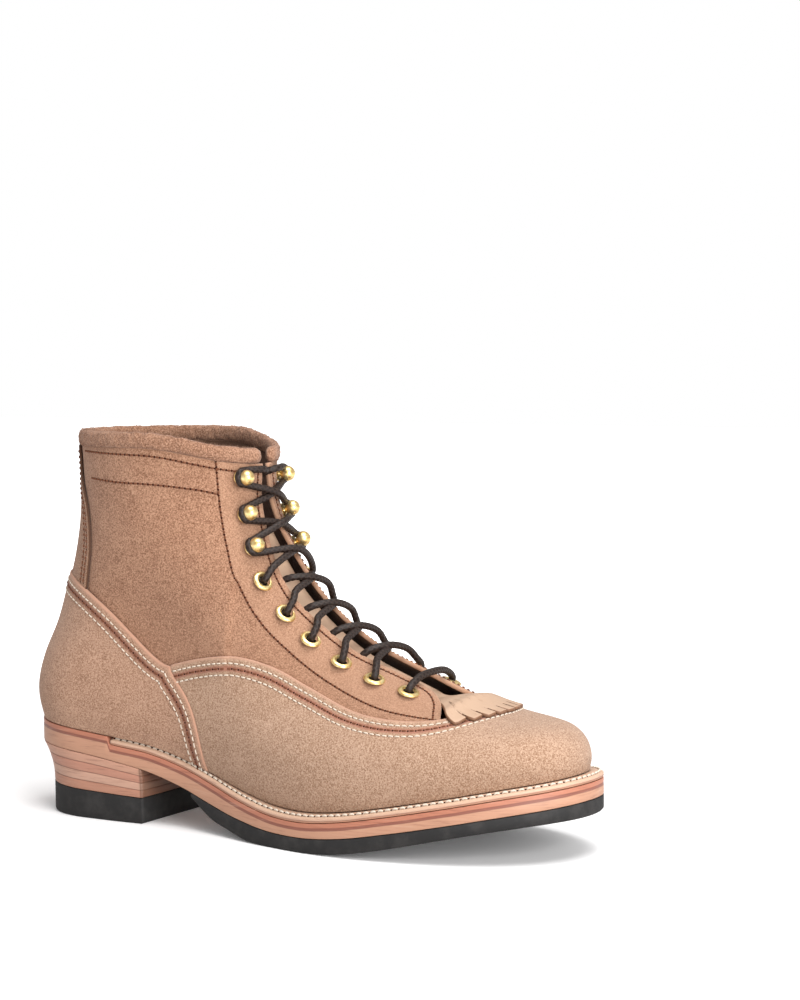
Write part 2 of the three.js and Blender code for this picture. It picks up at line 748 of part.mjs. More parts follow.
function kiltieGeometry() {
  const columns = 3 * FRINGE_TABS;
  const cut = (u) => (Math.round(((u + 1) / 2) * columns) % 3 === 0 && Math.abs(u) < 0.99 ? FRINGE_CUT : 0);
  const start = (u) => KILTIE_ROWS[0] + cut(u) + FRINGE_ROUNDING * u * u;
  const along = (u, v) => Math.max(v, start(u) + (v - KILTIE_ROWS[0]) * 0.3);
  const place = (u, v) => onUpper(along(u, v), u * THROAT_GAP * kiltieHalfShare(v));
  const under = -LEATHER - LACE_ROOM - OVERLAY;
  const overUpper = BEND_GAP;
  const overVamp = 2 * BEND_GAP + OVERLAY;
  const base = (u, v) => {
    const a = along(u, v);
    const dived = ease((a - KILTIE_DIVE[0]) / (KILTIE_DIVE[1] - KILTIE_DIVE[0]));
    const stepped = ease((a - KILTIE_STEP[0]) / (KILTIE_STEP[1] - KILTIE_STEP[0]));
    return mix(mix(overVamp, overUpper, stepped), under, dived);
  };
  return sheet({
    face: (u, v) => place(u, v).point,
    normal: (u, v) => place(u, v).normal,
    us: spread(columns, (t) => 2 * t - 1),
    vs: KILTIE_ROWS,
    outer: (u, v) => base(u, v) + OVERLAY,
    inner: base,
  });
}

// Collar roll: a rounded binding that stands on the wall's top edge, from facing to facing
function sweep(path, section) {
  const rings = path.map(({ point, side, up }) =>
    section.map(([a, b]) => point.clone().addScaledVector(side, a).addScaledVector(up, b)),
  );
  const corners = [];
  const count = section.length;
  for (let k = 0; k < rings.length - 1; k += 1) {
    for (let i = 0; i < count; i += 1) {
      const next = (i + 1) % count;
      quad(corners, rings[k][i], rings[k][next], rings[k + 1][next], rings[k + 1][i]);
    }
  }
  for (let i = 1; i < count - 1; i += 1) {
    const [first, last] = [rings[0], rings[rings.length - 1]];
    corners.push(first[0], first[i + 1], first[i]);
    corners.push(last[0], last[i], last[i + 1]);
  }
  return closedMesh(corners);
}

const UP = new THREE.Vector3(0, 0, 1);

function collarGeometry() {
  const path = spread(30, (t) => 2 * t - 1).map((u) => {
    const side = normalOf(upperFace, u, 1, -1).setZ(0).normalize();
    const point = upperFace(u, 1).addScaledVector(side, -LEATHER / 2);
    point.z = collarAt(point.x) + GAP;
    return { point, side, up: UP };
  });
  const half = LEATHER / 2 + COLLAR_BULGE;
  const section = [
    [-0.7 * half, 0],
    [0.7 * half, 0],
    [half, 0.25 * COLLAR_ROLL],
    [half, 0.7 * COLLAR_ROLL],
    [0.6 * half, 0.95 * COLLAR_ROLL],
    [0, COLLAR_ROLL],
    [-0.6 * half, 0.95 * COLLAR_ROLL],
    [-half, 0.7 * COLLAR_ROLL],
    [-half, 0.25 * COLLAR_ROLL],
  ];
  return sweep(path, section);
}

// Sole outline: a point of the lower edge moved out by a distance; c runs from heel back to toe tip
function outlinePoint(c, side, reach) {
  const at = (t) => {
    const [x, z] = wholeUpper(clamp(t, 0, 1), 0);
    return onLast(x, z, side).setZ(0);
  };
  const h = 0.002;
  const along = at(c + h).sub(at(c - h));
  if (c < h) along.set(0, side, 0);
  if (c > 1 - h) along.set(0, -side, 0);
  const out = new THREE.Vector3(along.y, -along.x, 0).multiplyScalar(-side).normalize();
  const point = at(c);
  return point.addScaledVector(out, reach(point.x));
}
const soleReachShare = curve(SOLE_EDGE, "along", "reach");
const soleReach = (x) => SOLE_REACH * soleReachShare(x / LAST_LENGTH);
const roundShare = (t) => (1 - Math.cos(Math.PI * t)) / 2;

// Where the outline passes a given x
function edgeAt(x, side, reach) {
  const t = solve((share) => outlinePoint(roundShare(share), side, reach).x, x, 0, 1);
  return outlinePoint(roundShare(t), side, reach);
}

// A slab of the sole: the same stations on both sides at each level, from the top level down
function slab(levels) {
  const corners = [];
  const loops = levels.map(({ outer, inner }) => [...outer, ...[...inner].reverse()]);
  loops.slice(1).forEach((loop, k) =>
    loop.forEach((_, i) => {
      const next = (i + 1) % loop.length;
      quad(corners, loops[k][i], loops[k][next], loop[next], loop[i]);
    }),
  );
  const cap = ({ outer, inner }, down) => {
    for (let i = 0; i < outer.length - 1; i += 1) {
      const ring = [outer[i], outer[i + 1], inner[i + 1], inner[i]];
      quad(corners, ...(down ? ring : ring.reverse()));
    }
  };
  cap(levels[0], false);
  cap(levels[levels.length - 1], true);
  return closedMesh(corners);
}

// One level of a slab between two stations along the boot, its height a function of x and y
const SLIVER = 0.15;
function level({ stations, reach, height, shape = (point) => point }) {
  const [outer, inner] = [-1, 1].map((side) =>
    stations.map((x) => {
      const point = shape(edgeAt(x, side, reach), side);
      return point.setZ(height(point.x));
    }),
  );
  return { outer, inner };
}
const tips = (reach) => [outlinePoint(0, -1, reach).x + SLIVER, outlinePoint(1, -1, reach).x - SLIVER];

const soleTop = (x) => featherHeight(x) - SEAM_GAP;
const weltUnder = (x) => soleTop(x) - WELT;
const midsoleShare = curve(MIDSOLE_DEPTH, "along", "thickness");
const midsoleUnder = (x) => weltUnder(x) - SEAM_GAP - MIDSOLE * midsoleShare(x / LAST_LENGTH);

// Midsole: full length, its seat as high as the welt's top behind the welt's ends
const SEAT_RAMP = 0.4;
function midsoleGeometry() {
  const [back, toe] = tips(soleReach);
  const heelStations = spread(8, (t) => mix(back, WELT_START - SEAT_RAMP, 1 - Math.cos((Math.PI / 2) * t)));
  const foreStations = spread(26, (t) => mix(WELT_START, toe, Math.sin((Math.PI / 2) * t ** 0.85)));
  const stations = [...heelStations, ...foreStations];
  const top = (x) => (x < WELT_START - SEAT_RAMP / 2 ? soleTop(x) : weltUnder(x) - SEAM_GAP);
  return slab([
    level({ stations, reach: soleReach, height: top }),
    level({ stations, reach: soleReach, height: midsoleUnder }),
  ]);
}

// Welt: a strip from the heel round the toe, under the edge of upper and insole
function weltGeometry() {
  const ends = [-1, 1].map((side) => solve((t) => outlinePoint(roundShare(t), side, () => 0).x, WELT_START + 1.5, 0, 1));
  const stations = [
    ...spread(26, (t) => [-1, mix(ends[0], 1, t)]),
    ...spread(26, (t) => [1, mix(1, ends[1], t)]).slice(1),
  ];
  const path = stations.map(([side, t]) => {
    const c = roundShare(t);
    const inside = outlinePoint(c, side, () => -WELT_TUCK);
    const outside = outlinePoint(c, side, soleReach);
    return [inside, outside];
  });
  const corners = [];
  const ring = ([inside, outside]) => [
    inside.clone().setZ(weltUnder(inside.x)),
    outside.clone().setZ(weltUnder(outside.x)),
    outside.clone().setZ(soleTop(outside.x)),
    inside.clone().setZ(soleTop(inside.x)),
  ];
  const rings = path.map(ring);
  rings.slice(1).forEach((here, k) =>
    here.forEach((_, i) => {
      const next = (i + 1) % here.length;
      quad(corners, rings[k][i], rings[k][next], here[next], here[i]);
    }),
  );
  quad(corners, ...[...rings[0]].reverse());
  quad(corners, ...rings[rings.length - 1]);
  return closedMesh(corners);
}

// Insole: inside the wall, on the welt
function insoleGeometry() {
  const reach = () => -LEATHER - BEND_GAP;
  const [back, toe] = tips(reach);
  const stations = spread(24, (t) => mix(back, toe, roundShare(t)));
  return slab([
    level({ stations, reach, height: (x) => featherHeight(x) + INSOLE }),
    level({ stations, reach, height: featherHeight }),
  ]);
}

// Rubber half sole: skived to nothing behind, flat under the ball, rising to the toe
const underside = curve(RUBBER_UNDERSIDE, "along", "height");
const rubberUnder = (x) => TOE_SPRING * Math.max(0, underside(x / LAST_LENGTH));
const EDGE_BEVEL = 0.9;

function halfSoleGeometry() {
  const toe = tips(soleReach)[1];
  const stations = spread(26, (t) => mix(HALF_SOLE_START, toe, Math.sin((Math.PI / 2) * t)));
  const top = (x) => midsoleUnder(x) - SEAM_GAP;
  const under = (x) => Math.min(rubberUnder(x), top(x) - 1);
  const bevelled = (x) => soleReach(x) - EDGE_BEVEL;
  const inset = (point, side) => edgeAt(clamp(point.x, HALF_SOLE_START, toe - EDGE_BEVEL), side, bevelled);
  return slab([
    level({ stations, reach: soleReach, height: top }),
    level({ stations, reach: soleReach, height: (x) => Math.min(under(x) + EDGE_BEVEL, top(x) - 0.5) }),
    level({ stations, reach: soleReach, height: under, shape: inset }),
  ]);
}

// Heel: leather stack and rubber top piece, undercut at the back, its front face upright
const liftTop = (x) => LIFT_HEIGHT + LIFT_RISE * (1 - x / HEEL_BREAST);
const heelStations = spread(12, (t) => mix(tips(soleReach)[0], HEEL_BREAST, 1 - Math.cos((Math.PI / 2) * t)));
const SIDE_TAPER = 0.03;

function heelShape(share) {
  return (point) => {
    const ahead = (point.x - heelStations[0]) / (HEEL_BREAST - heelStations[0]);
    point.x += HEEL_UNDERCUT * share * (1 - ahead);
    point.y *= 1 - SIDE_TAPER * share;
    return point;
  };
}

function heelLevel(share, height) {
  return level({ stations: heelStations, reach: soleReach, height, shape: heelShape(share) });
}

function heelStackGeometry() {
  const top = (x) => midsoleUnder(x) - SEAM_GAP;
  const under = (x) => liftTop(x) + GAP;
  const depths = [0, 0.2, 0.42, 0.68, 1];
  return slab(depths.map((w) => heelLevel(1 - (1 - w) ** 2.2, (x) => mix(top(x), under(x), w))));
}

function heelLiftGeometry() {
  return slab([heelLevel(1, liftTop), heelLevel(1, () => 0)]);
}

// Fastenings: a lathe turned about +Z, then stood on the upper along its normal
function lathe(profile, segments) {
  const points = profile.map(([radius, height]) => new THREE.Vector2(radius, height));
  const geometry = new THREE.LatheGeometry(points, segments);
  geometry.rotateX(Math.PI / 2);
  geometry.deleteAttribute("normal");
  geometry.deleteAttribute("uv");
  return outward(mergeVertices(geometry, 1e-3));
}

const EYELET_HEIGHT = 1.1;
const eyeletGeometry = lathe(
  [
    [EYELET_HOLE, 0],
    [EYELET_RADIUS, 0],
    [0.76 * EYELET_RADIUS, EYELET_HEIGHT],
    [EYELET_HOLE, 0.6 * EYELET_HEIGHT],
    [EYELET_HOLE, 0],
  ],
  9,
);
const hookGeometry = lathe(
  [
    [0, 0],
    [0.95 * HOOK_HEAD, 0],
    [HOOK_STEM, 1],
    [HOOK_STEM, 0.56 * HOOK_HEIGHT],
    [HOOK_HEAD, 0.7 * HOOK_HEIGHT],
    [0.85 * HOOK_HEAD, 0.9 * HOOK_HEIGHT],
    [0, HOOK_HEIGHT],
  ],
  7,
);

// Laces: tubes over the upper, joined where they cross
const wasm = await Module();
wasm.setup();

const laceSection = new THREE.Shape(
  spread(6).slice(1).map((t) => new THREE.Vector2(Math.cos(2 * Math.PI * t), Math.sin(2 * Math.PI * t)).multiplyScalar(LACE_RADIUS)),
);

function laceSolid(points, steps) {
  const path = new THREE.CatmullRomCurve3(points, false, "centripetal");
  const tube = new THREE.ExtrudeGeometry(laceSection, { steps, extrudePath: path, bevelEnabled: false });
  tube.deleteAttribute("normal");
  tube.deleteAttribute("uv");
  const merged = outward(mergeVertices(tube, 1e-3));
  const mesh = new wasm.Mesh({
    numProp: 3,
    vertProperties: new Float32Array(merged.attributes.position.array),
    triVerts: new Uint32Array(merged.index.array),
  });
  return new wasm.Manifold(mesh);
}

function solidGeometry(solid) {
  const mesh = solid.getMesh();
  const geometry = new THREE.BufferGeometry();
  geometry.setAttribute("position", new THREE.BufferAttribute(new Float32Array(mesh.vertProperties), 3));
  geometry.setIndex(Array.from(mesh.triVerts));
  return geometry;
}

const LACE_LIFT = LACE_RADIUS + GAP + 0.35; // middle of a lace that lies on the leather
const MOUTH_LIFT = LACE_RADIUS * 0.5 + GAP; // and where it comes out of an eyelet's hole

// From an eyelet over its own facing, across the throat and down beside the other facing's edge
function crossing(from, to, side, top) {
  const start = onUpper(from.along, side * from.side);
  const half = throatHalf(mix(from.along, to.along, 0.7));
  const rise = top ? LACE_RADIUS : 0;
  const at = (t, across, lift) => onUpper(mix(from.along, to.along, t), across, lift).point;
  return [
    start.point.clone().addScaledVector(start.normal, GAP + 0.1),
    start.point.clone().addScaledVector(start.normal, MOUTH_LIFT + LACE_RADIUS),
    at(0.14, side * (from.side - 3.4), LACE_LIFT + 1.6),
    at(0.32, side * mix(half, from.side, 0.1), LACE_LIFT + 0.6 + rise),
    at(0.52, 0, LACE_LIFT + rise),
    at(0.74, -side * (half - LACE_RADIUS - 1.2), LACE_LIFT * 0.5 + rise * 0.4),
  ];
}

function bottomBar() {
  const last = EYELETS[EYELETS.length - 1];
  const mouth = (side) => {
    const { point, normal } = onUpper(last.along, side * last.side);
    return [BEND_GAP, MOUTH_LIFT + LACE_RADIUS + 0.6].map((lift) => point.clone().addScaledVector(normal, lift));
  };
  const middle = [-13, 0, 13].map((across) => onUpper(last.along + 0.004, across, LACE_LIFT + 1.6).point);
  return [...mouth(-1), ...middle, ...mouth(1).reverse()];
}

// Round a hook's stem, in by its lower side and out by its upper side
function roundHook(hook, side) {
  const { point, normal } = onUpper(hook.along, side * hook.side);
  const above = onUpper(hook.along + 0.02, side * hook.side).point;
  const upward = above.sub(point).projectOnPlane(normal).normalize();
  const inward = new THREE.Vector3().crossVectors(upward, normal).multiplyScalar(-side);
  if (inward.y * side > 0) inward.negate();
  const radius = HOOK_STEM + LACE_RADIUS + 2 * GAP;
  const lift = 1 + BEND_GAP + GAP + LACE_RADIUS;
  return [-75, -130, -180, -230, -285].map((degrees) => {
    const turn = THREE.MathUtils.degToRad(degrees);
    return point
      .clone()
      .addScaledVector(normal, lift)
      .addScaledVector(inward, radius * Math.cos(turn))
      .addScaledVector(upward, radius * Math.sin(turn));
  });
}

// One lace from its top eyelet up the hooks, changing sides at each, to its tucked end in the throat
function hookRun(side) {
  const top = EYELETS[0];
  const start = onUpper(top.along, side * top.side);
  const over = (a, b, t, lift) => onUpper(mix(a.along, b.along, t), 0, LACE_LIFT + lift).point;
  const onTop = side > 0 ? LACE_RADIUS * 1.2 : 0;
  const points = [
    start.point.clone().addScaledVector(start.normal, GAP + 0.1),
    start.point.clone().addScaledVector(start.normal, MOUTH_LIFT + LACE_RADIUS),
    onUpper(mix(top.along, HOOKS[0].along, 0.2), side * (top.side - 4), LACE_LIFT + 1.4).point,
  ];
  let here = top;
  let hand = side;
  HOOKS.forEach((hook) => {
    points.push(over(here, hook, 0.5, 0.9 + onTop));
    hand = -hand;
    points.push(...roundHook(hook, hand));
    here = hook;
  });
  points.push(onUpper(0.992, hand * 9, LACE_LIFT + 1).point);
  points.push(onUpper(0.996, hand * 3.2, LACE_LIFT + 0.4).point);
  return points;
}

// Materials
const finish = (color, roughness, metalness = 0) => new THREE.MeshStandardMaterial({ color, roughness, metalness });
const roughOut = finish(0xb08a6c, 0.95);
const smoothTan = finish(0xd9b593, 0.6);
const pinkTan = finish(0xcf9c7d, 0.6);
const veg = finish(0xe0b992, 0.5);
const edgeTan = finish(0xd08a6b, 0.45);
const stackTan = finish(0xc99a7d, 0.45);
const blackRubber = finish(0x353535, 0.75);
const brass = finish(0xc9a35a, 0.3, 1);
const waxedCord = finish(0x33281f, 0.8);

const boot = new THREE.Group();
boot.position.x = -HEEL_REST;

function add(name, geometry, material, parent = boot) {
  geometry.computeVertexNormals();
  const mesh = new THREE.Mesh(geometry, material);
  mesh.name = name;
  parent.add(mesh);
  return mesh;
}

// Fastenings keep their own geometry each, stood on the upper by position and rotation
function fasten(name, geometry, { along, side }, hand) {
  const { point, normal } = onUpper(along, hand * side, BEND_GAP);
  const mesh = add(name, geometry.clone(), brass);
  mesh.position.copy(point);
  mesh.quaternion.setFromUnitVectors(UP, normal);
}

add("upper", upperGeometry(), roughOut);
add("vamp", vampGeometry(), roughOut);
add("counter_cover", counterGeometry(), roughOut);
add("backstay", backstayGeometry(), roughOut);
add("collar_roll", collarGeometry(), roughOut);
add("tongue", tongueGeometry(), pinkTan);
add("kiltie", kiltieGeometry(), smoothTan);
add("insole", insoleGeometry(), smoothTan);
add("welt", weltGeometry(), veg);
add("midsole", midsoleGeometry(), edgeTan);
add("half_sole", halfSoleGeometry(), blackRubber);
add("heel_stack", heelStackGeometry(), stackTan);
add("heel_lift", heelLiftGeometry(), blackRubber);

const hands = [["outer", -1], ["inner", 1]];
hands.forEach(([label, hand]) => {
  EYELETS.forEach((eyelet, i) => fasten(`eyelet_${label}_${i + 1}`, eyeletGeometry, eyelet, hand));
  HOOKS.forEach((hook, i) => fasten(`hook_${label}_${i + 1}`, hookGeometry, hook, hand));
});

add("lace_bar", solidGeometry(laceSolid(bottomBar(), 13)), waxedCord);
EYELETS.slice(0, -2).forEach((upper, i) => {
  const lower = EYELETS[i + 1];
  const pair = [1, -1].map((side) => laceSolid(crossing(lower, upper, side, side > 0), 9));
  add(`lace_crossing_${i + 1}`, solidGeometry(pair[0].add(pair[1])), waxedCord);
});
const runs = [1, -1].map((side) => laceSolid(hookRun(side), 42));
add("lace_hooks", solidGeometry(runs[0].add(runs[1])), waxedCord);

export default boot;
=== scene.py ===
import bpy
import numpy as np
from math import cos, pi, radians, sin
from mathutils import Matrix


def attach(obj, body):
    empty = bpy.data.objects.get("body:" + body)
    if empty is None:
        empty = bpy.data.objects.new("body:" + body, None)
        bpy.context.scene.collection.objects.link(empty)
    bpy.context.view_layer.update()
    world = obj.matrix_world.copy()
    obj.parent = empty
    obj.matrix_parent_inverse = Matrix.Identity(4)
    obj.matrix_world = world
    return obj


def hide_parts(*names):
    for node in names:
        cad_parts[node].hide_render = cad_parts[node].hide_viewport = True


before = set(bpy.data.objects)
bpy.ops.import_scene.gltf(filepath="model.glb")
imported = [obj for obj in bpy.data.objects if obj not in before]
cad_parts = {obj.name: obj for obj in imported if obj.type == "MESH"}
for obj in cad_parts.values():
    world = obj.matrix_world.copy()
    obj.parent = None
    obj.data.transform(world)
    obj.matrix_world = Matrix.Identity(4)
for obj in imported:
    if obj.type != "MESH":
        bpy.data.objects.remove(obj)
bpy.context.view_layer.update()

# %% [markdown]
# # Logger boot, right foot
#
# A lace-to-toe work boot of rough-out leather on a stitched leather sole with a stacked heel. Each step below
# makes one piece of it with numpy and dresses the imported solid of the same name. Lengths are millimetres
# along the boot, x from the back of the heel to the toe, y to the inner side, z up from the floor, until a
# mesh is made: then they become metres about the frame's origin under the heel.

# %% [markdown]
# ## Camera
#
# The picture was taken from the outer side, ahead of the toe and a little above the floor, with a long lens.
# The camera's place, heading and small roll come from fitting the boot's known sizes to the picture.

# %% Camera
CAMERA_PLACE = (0.7681, -0.9955, 0.2448)
CAMERA_HEADING = radians(31.27)  # from straight on, towards the toe
CAMERA_RISE = radians(4.15)
CAMERA_ROLL = radians(-0.6)
LENS = 89.86
SENSOR = 36.0
FARTHEST = 20.0


def stand(name, data, axes, place):
    """Object whose matrix has its three axes and its place as columns."""
    matrix = np.eye(4)
    matrix[:3, :3] = np.transpose(axes)
    matrix[:3, 3] = place
    made = bpy.data.objects.new(name, data)
    made.matrix_world = Matrix(matrix.tolist())
    bpy.context.scene.collection.objects.link(made)
    return made


def make_camera():
    """Camera that looks back along (sin heading cos rise, -cos heading cos rise, sin rise), rolled."""
    level = np.array([cos(CAMERA_HEADING), sin(CAMERA_HEADING), 0.0])
    flat = cos(CAMERA_RISE)
    towards = np.array([sin(CAMERA_HEADING) * flat, -cos(CAMERA_HEADING) * flat, sin(CAMERA_RISE)])
    upright = np.cross(level, -towards)
    right = cos(CAMERA_ROLL) * level + sin(CAMERA_ROLL) * upright
    up = cos(CAMERA_ROLL) * upright - sin(CAMERA_ROLL) * level
    data = bpy.data.cameras.new("camera")
    data.lens = LENS
    data.sensor_width = SENSOR
    data.clip_end = FARTHEST
    bpy.context.scene.camera = stand("camera", data, (right, up, towards), CAMERA_PLACE)


make_camera()
print("camera at", CAMERA_PLACE)

# %% [markdown]
# ## Studio
#
# The picture has a white room, a white floor and one soft shadow under the sole. The room is seen white but
# gives the boot only part of its light. One large soft lamp over the boot lights the tops and another ahead
# of the toe lights the front. The floor takes the contact shadow and glows further out, so that it has no
# visible end.

# %% Floor, lamps and white room
WORLD_LIGHT = 0.54  # on the boot; the room itself is white
LAMP_AIM = (0.1, 0.0, 0.08)
FLOOR_HALF = 4.0
LAMPS = [  # name, place, size, power
    ("top_lamp", (0.55, -0.2, 1.6), 1.1, 27.0),
    ("toe_lamp", (1.5, -0.8, 0.55), 0.9, 27.0),
]


def make_lamp(name, place, size, power):
    """Square soft lamp turned to the middle of the boot."""
    data = bpy.data.lights.new(name, "AREA")
    data.size = size
    data.energy = power
    away = np.array(place) - np.array(LAMP_AIM)
    away = away / np.linalg.norm(away)
    across = np.cross([0.0, 0.0, 1.0], away)
    across = across / np.linalg.norm(across)
    stand(name, data, (across, np.cross(away, across), away), place)


for lamp in LAMPS:
    make_lamp(*lamp)

world = bpy.data.worlds.new("white_room")
world.use_nodes = True
room = world.node_tree.nodes["Background"]
room.inputs["Color"].default_value = (1.0, 1.0, 1.0, 1.0)
room_light = world.node_tree.nodes.new("ShaderNodeMapRange")
room_light.inputs["To Min"].default_value = WORLD_LIGHT
room_rays = world.node_tree.nodes.new("ShaderNodeLightPath")
world.node_tree.links.new(room_rays.outputs["Is Camera Ray"], room_light.inputs["Value"])
world.node_tree.links.new(room_light.outputs["Result"], room.inputs["Strength"])
bpy.context.scene.world = world
bpy.context.scene.view_settings.view_transform = "Standard"

floor_mesh = bpy.data.meshes.new("floor")
floor_corners = [(FLOOR_HALF * x, FLOOR_HALF * y, 0.0) for x, y in ((-1, -1), (1, -1), (1, 1), (-1, 1))]
floor_mesh.from_pydata(floor_corners, [], [(0, 1, 2, 3)])
floor = bpy.data.objects.new("floor", floor_mesh)
bpy.context.scene.collection.objects.link(floor)
print("lamps", len(LAMPS))

# %% [markdown]
# ## Sizes of the boot
#
# These are the sizes that the solids were made from. Tables give shares of a size, so that every line of the
# boot follows its length, widths and heights.

# %% Sizes
LAST_LENGTH = 300.0
BALL_WIDTH = 90.0
SHAFT_WIDTH = 84.0
SEAT_HEIGHT = 47.5
BOOT_HEIGHT = 192.0
TOE_SWING = 5.0
THROAT_GAP = 25.0
TOE_SPRING = 20.0
LEATHER = 2.2
OVERLAY = 1.6
COUNTER = 2.3
BACKSTAY = 1.4
TONGUE = 2.0
COLLAR_DROP = 9.0
COLLAR_ROLL = 7.7
COLLAR_BULGE = 1.4
WELT = 3.4
WELT_TUCK = 10.0
MIDSOLE = 7.6
SOLE_REACH = 8.5
INSOLE = 2.6
HEEL_BREAST = 80.0
HALF_SOLE_START = 111.0
LIFT_HEIGHT = 12.6
LIFT_RISE = 2.8
HEEL_UNDERCUT = 6.7
SIDE_TAPER = 0.03
WELT_START = 61.0
EYELET_RADIUS = 5.2
EYELET_HOLE = 2.7
HOOK_HEIGHT = 8.9
HOOK_HEAD = 3.8
HOOK_STEM = 1.5
LACE_RADIUS = 1.9
GAP = 0.3
LAYER_GAP = 0.3  # between bent leathers
SEAM_GAP = 0.45
HEEL_REST = 46.0
SHAFT_RISE = BOOT_HEIGHT - SEAT_HEIGHT

# lower edge of the upper: along, height, outer half, inner half
FEATHER_LINE = [
    (0.0, 1.0, 0.344, 0.344), (0.117, 0.943, 0.344, 0.344), (0.217, 0.88, 0.344, 0.328),
    (0.283, 0.827, 0.333, 0.306), (0.35, 0.726, 0.333, 0.3), (0.417, 0.602, 0.361, 0.317),
    (0.483, 0.484, 0.406, 0.356), (0.55, 0.4, 0.45, 0.411), (0.617, 0.383, 0.489, 0.456),
    (0.683, 0.425, 0.506, 0.489), (0.767, 0.518, 0.5, 0.494), (0.85, 0.621, 0.478, 0.478),
    (0.933, 0.724, 0.444, 0.428), (1.0, 0.796, 0.422, 0.394),
]
# centre line over toe, instep and shaft front: along, rise above the lower edge
RIDGE_LINE = [
    (1.0, 0.0), (1.003, 0.036), (0.998, 0.077), (0.983, 0.118), (0.958, 0.152), (0.928, 0.176),
    (0.897, 0.199), (0.868, 0.223), (0.838, 0.253), (0.807, 0.291), (0.77, 0.341), (0.73, 0.394),
    (0.687, 0.447), (0.643, 0.501), (0.603, 0.557), (0.565, 0.614), (0.532, 0.668), (0.502, 0.728),
    (0.478, 0.792), (0.461, 0.851), (0.45, 0.918), (0.447, 0.997), (0.448, 1.088), (0.45, 1.179),
]
# level sections: rise above the seat, back, outer half, inner half, depth of the back, depth of the front
LEVELS = [
    (-0.066, 0.023, 0.393, 0.381, 0.429, 0.714), (0.003, 0.02, 0.399, 0.381, 0.429, 0.714),
    (0.1, 0.015, 0.417, 0.399, 0.452, 0.714), (0.211, 0.028, 0.423, 0.405, 0.476, 0.714),
    (0.329, 0.054, 0.423, 0.405, 0.524, 0.714), (0.446, 0.073, 0.429, 0.417, 0.583, 0.714),
    (0.571, 0.092, 0.452, 0.446, 0.643, 0.714), (0.709, 0.105, 0.476, 0.476, 0.69, 0.762),
    (0.848, 0.107, 0.488, 0.482, 0.714, 0.798), (1.0, 0.103, 0.5, 0.494, 0.738, 0.81),
]
# swell past the lower edge: rise, out
SWELL = [
    (-0.07, -0.01), (0.0, 0.0), (0.055, 0.029), (0.11, 0.043), (0.18, 0.048), (0.28, 0.038),
    (0.41, 0.017), (0.62, 0.0),
]
# lace opening: along the centre line, half its width
THROAT = [
    (0.0, 0.8), (0.2, 1.1), (0.246, 1.06), (0.27, 0.92), (0.304, 0.68), (0.347, 0.46), (0.414, 0.43),
    (0.507, 0.48), (0.605, 0.49),
    (0.719, 0.505), (0.782, 0.44), (0.825, 0.365), (0.863, 0.285), (0.922, 0.2), (1.0, 0.11),
]
THROAT_END = 0.246
# cut edges of the overlays: along and rise above the seat
VAMP_EDGE = [
    (0.325, 0.216), (0.393, 0.25), (0.45, 0.265), (0.525, 0.237), (0.593, 0.18), (0.683, 0.113),
    (0.762, 0.09), (0.808, 0.087), (0.84, 0.093), (0.865, 0.105),
]
COUNTER_TOP = [
    (0.06, 0.51), (0.11, 0.498), (0.165, 0.457), (0.209, 0.406), (0.25, 0.344), (0.284, 0.293),
    (0.311, 0.254), (0.335, 0.217),
]
COUNTER_FRONT = [(-0.12, 0.403), (0.016, 0.391), (0.086, 0.381), (0.16, 0.361), (0.217, 0.335)]
BACKSTAY_EDGE = [(0.44, 0.163), (0.5, 0.168), (0.62, 0.174), (0.74, 0.164), (0.85, 0.137), (0.95, 0.13)]
# sole: along with reach, thickness and underside
SOLE_EDGE = [(-0.02, 0.36), (0.2, 0.36), (0.36, 0.45), (0.5, 0.75), (0.62, 0.92), (0.8, 0.95), (1.03, 1.0)]
MIDSOLE_DEPTH = [
    (-0.02, 0.95), (0.2, 1.0), (0.33, 1.25), (0.42, 1.3), (0.5, 1.1), (0.58, 0.93), (0.7, 0.97), (1.05, 1.02),
]
RUBBER_UNDERSIDE = [
    (0.37, 0.8), (0.413, 0.38), (0.453, 0.2), (0.5, 0.03), (0.53, 0.0), (0.62, 0.0), (0.667, 0.045),
    (0.72, 0.16), (0.773, 0.32), (0.827, 0.5), (0.873, 0.65), (0.937, 0.83), (0.993, 0.95), (1.03, 1.0),
]
# kiltie: along the centre line, half its width
KILTIE_SHAPE = [
    (0.2, 1.2), (0.245, 1.2), (0.27, 1.13), (0.287, 1.02), (0.31, 0.76), (0.338, 0.52), (0.357, 0.42),
    (0.38, 0.4), (0.41, 0.55), (0.5, 0.64), (0.64, 0.64), (0.76, 0.56), (0.87, 0.34),
]
# fastenings from the ankle: along the centre line, out
EYELETS = [(0.772, 0.79), (0.695, 0.785), (0.622, 0.795), (0.544, 0.81), (0.466, 0.835), (0.39, 0.785)]
HOOKS = [(0.839, 0.745), (0.904, 0.68), (0.977, 0.66)]
print("sizes: length", LAST_LENGTH, "height", BOOT_HEIGHT)

# %% [markdown]
# ## The last
#
# Every leather of the upper is pulled over one last. Its half width is worked out at each point of the side
# view: foot sections below, shaft sections above, rounded off towards the centre line and the heel's back.

# %% Curves and the last's surface


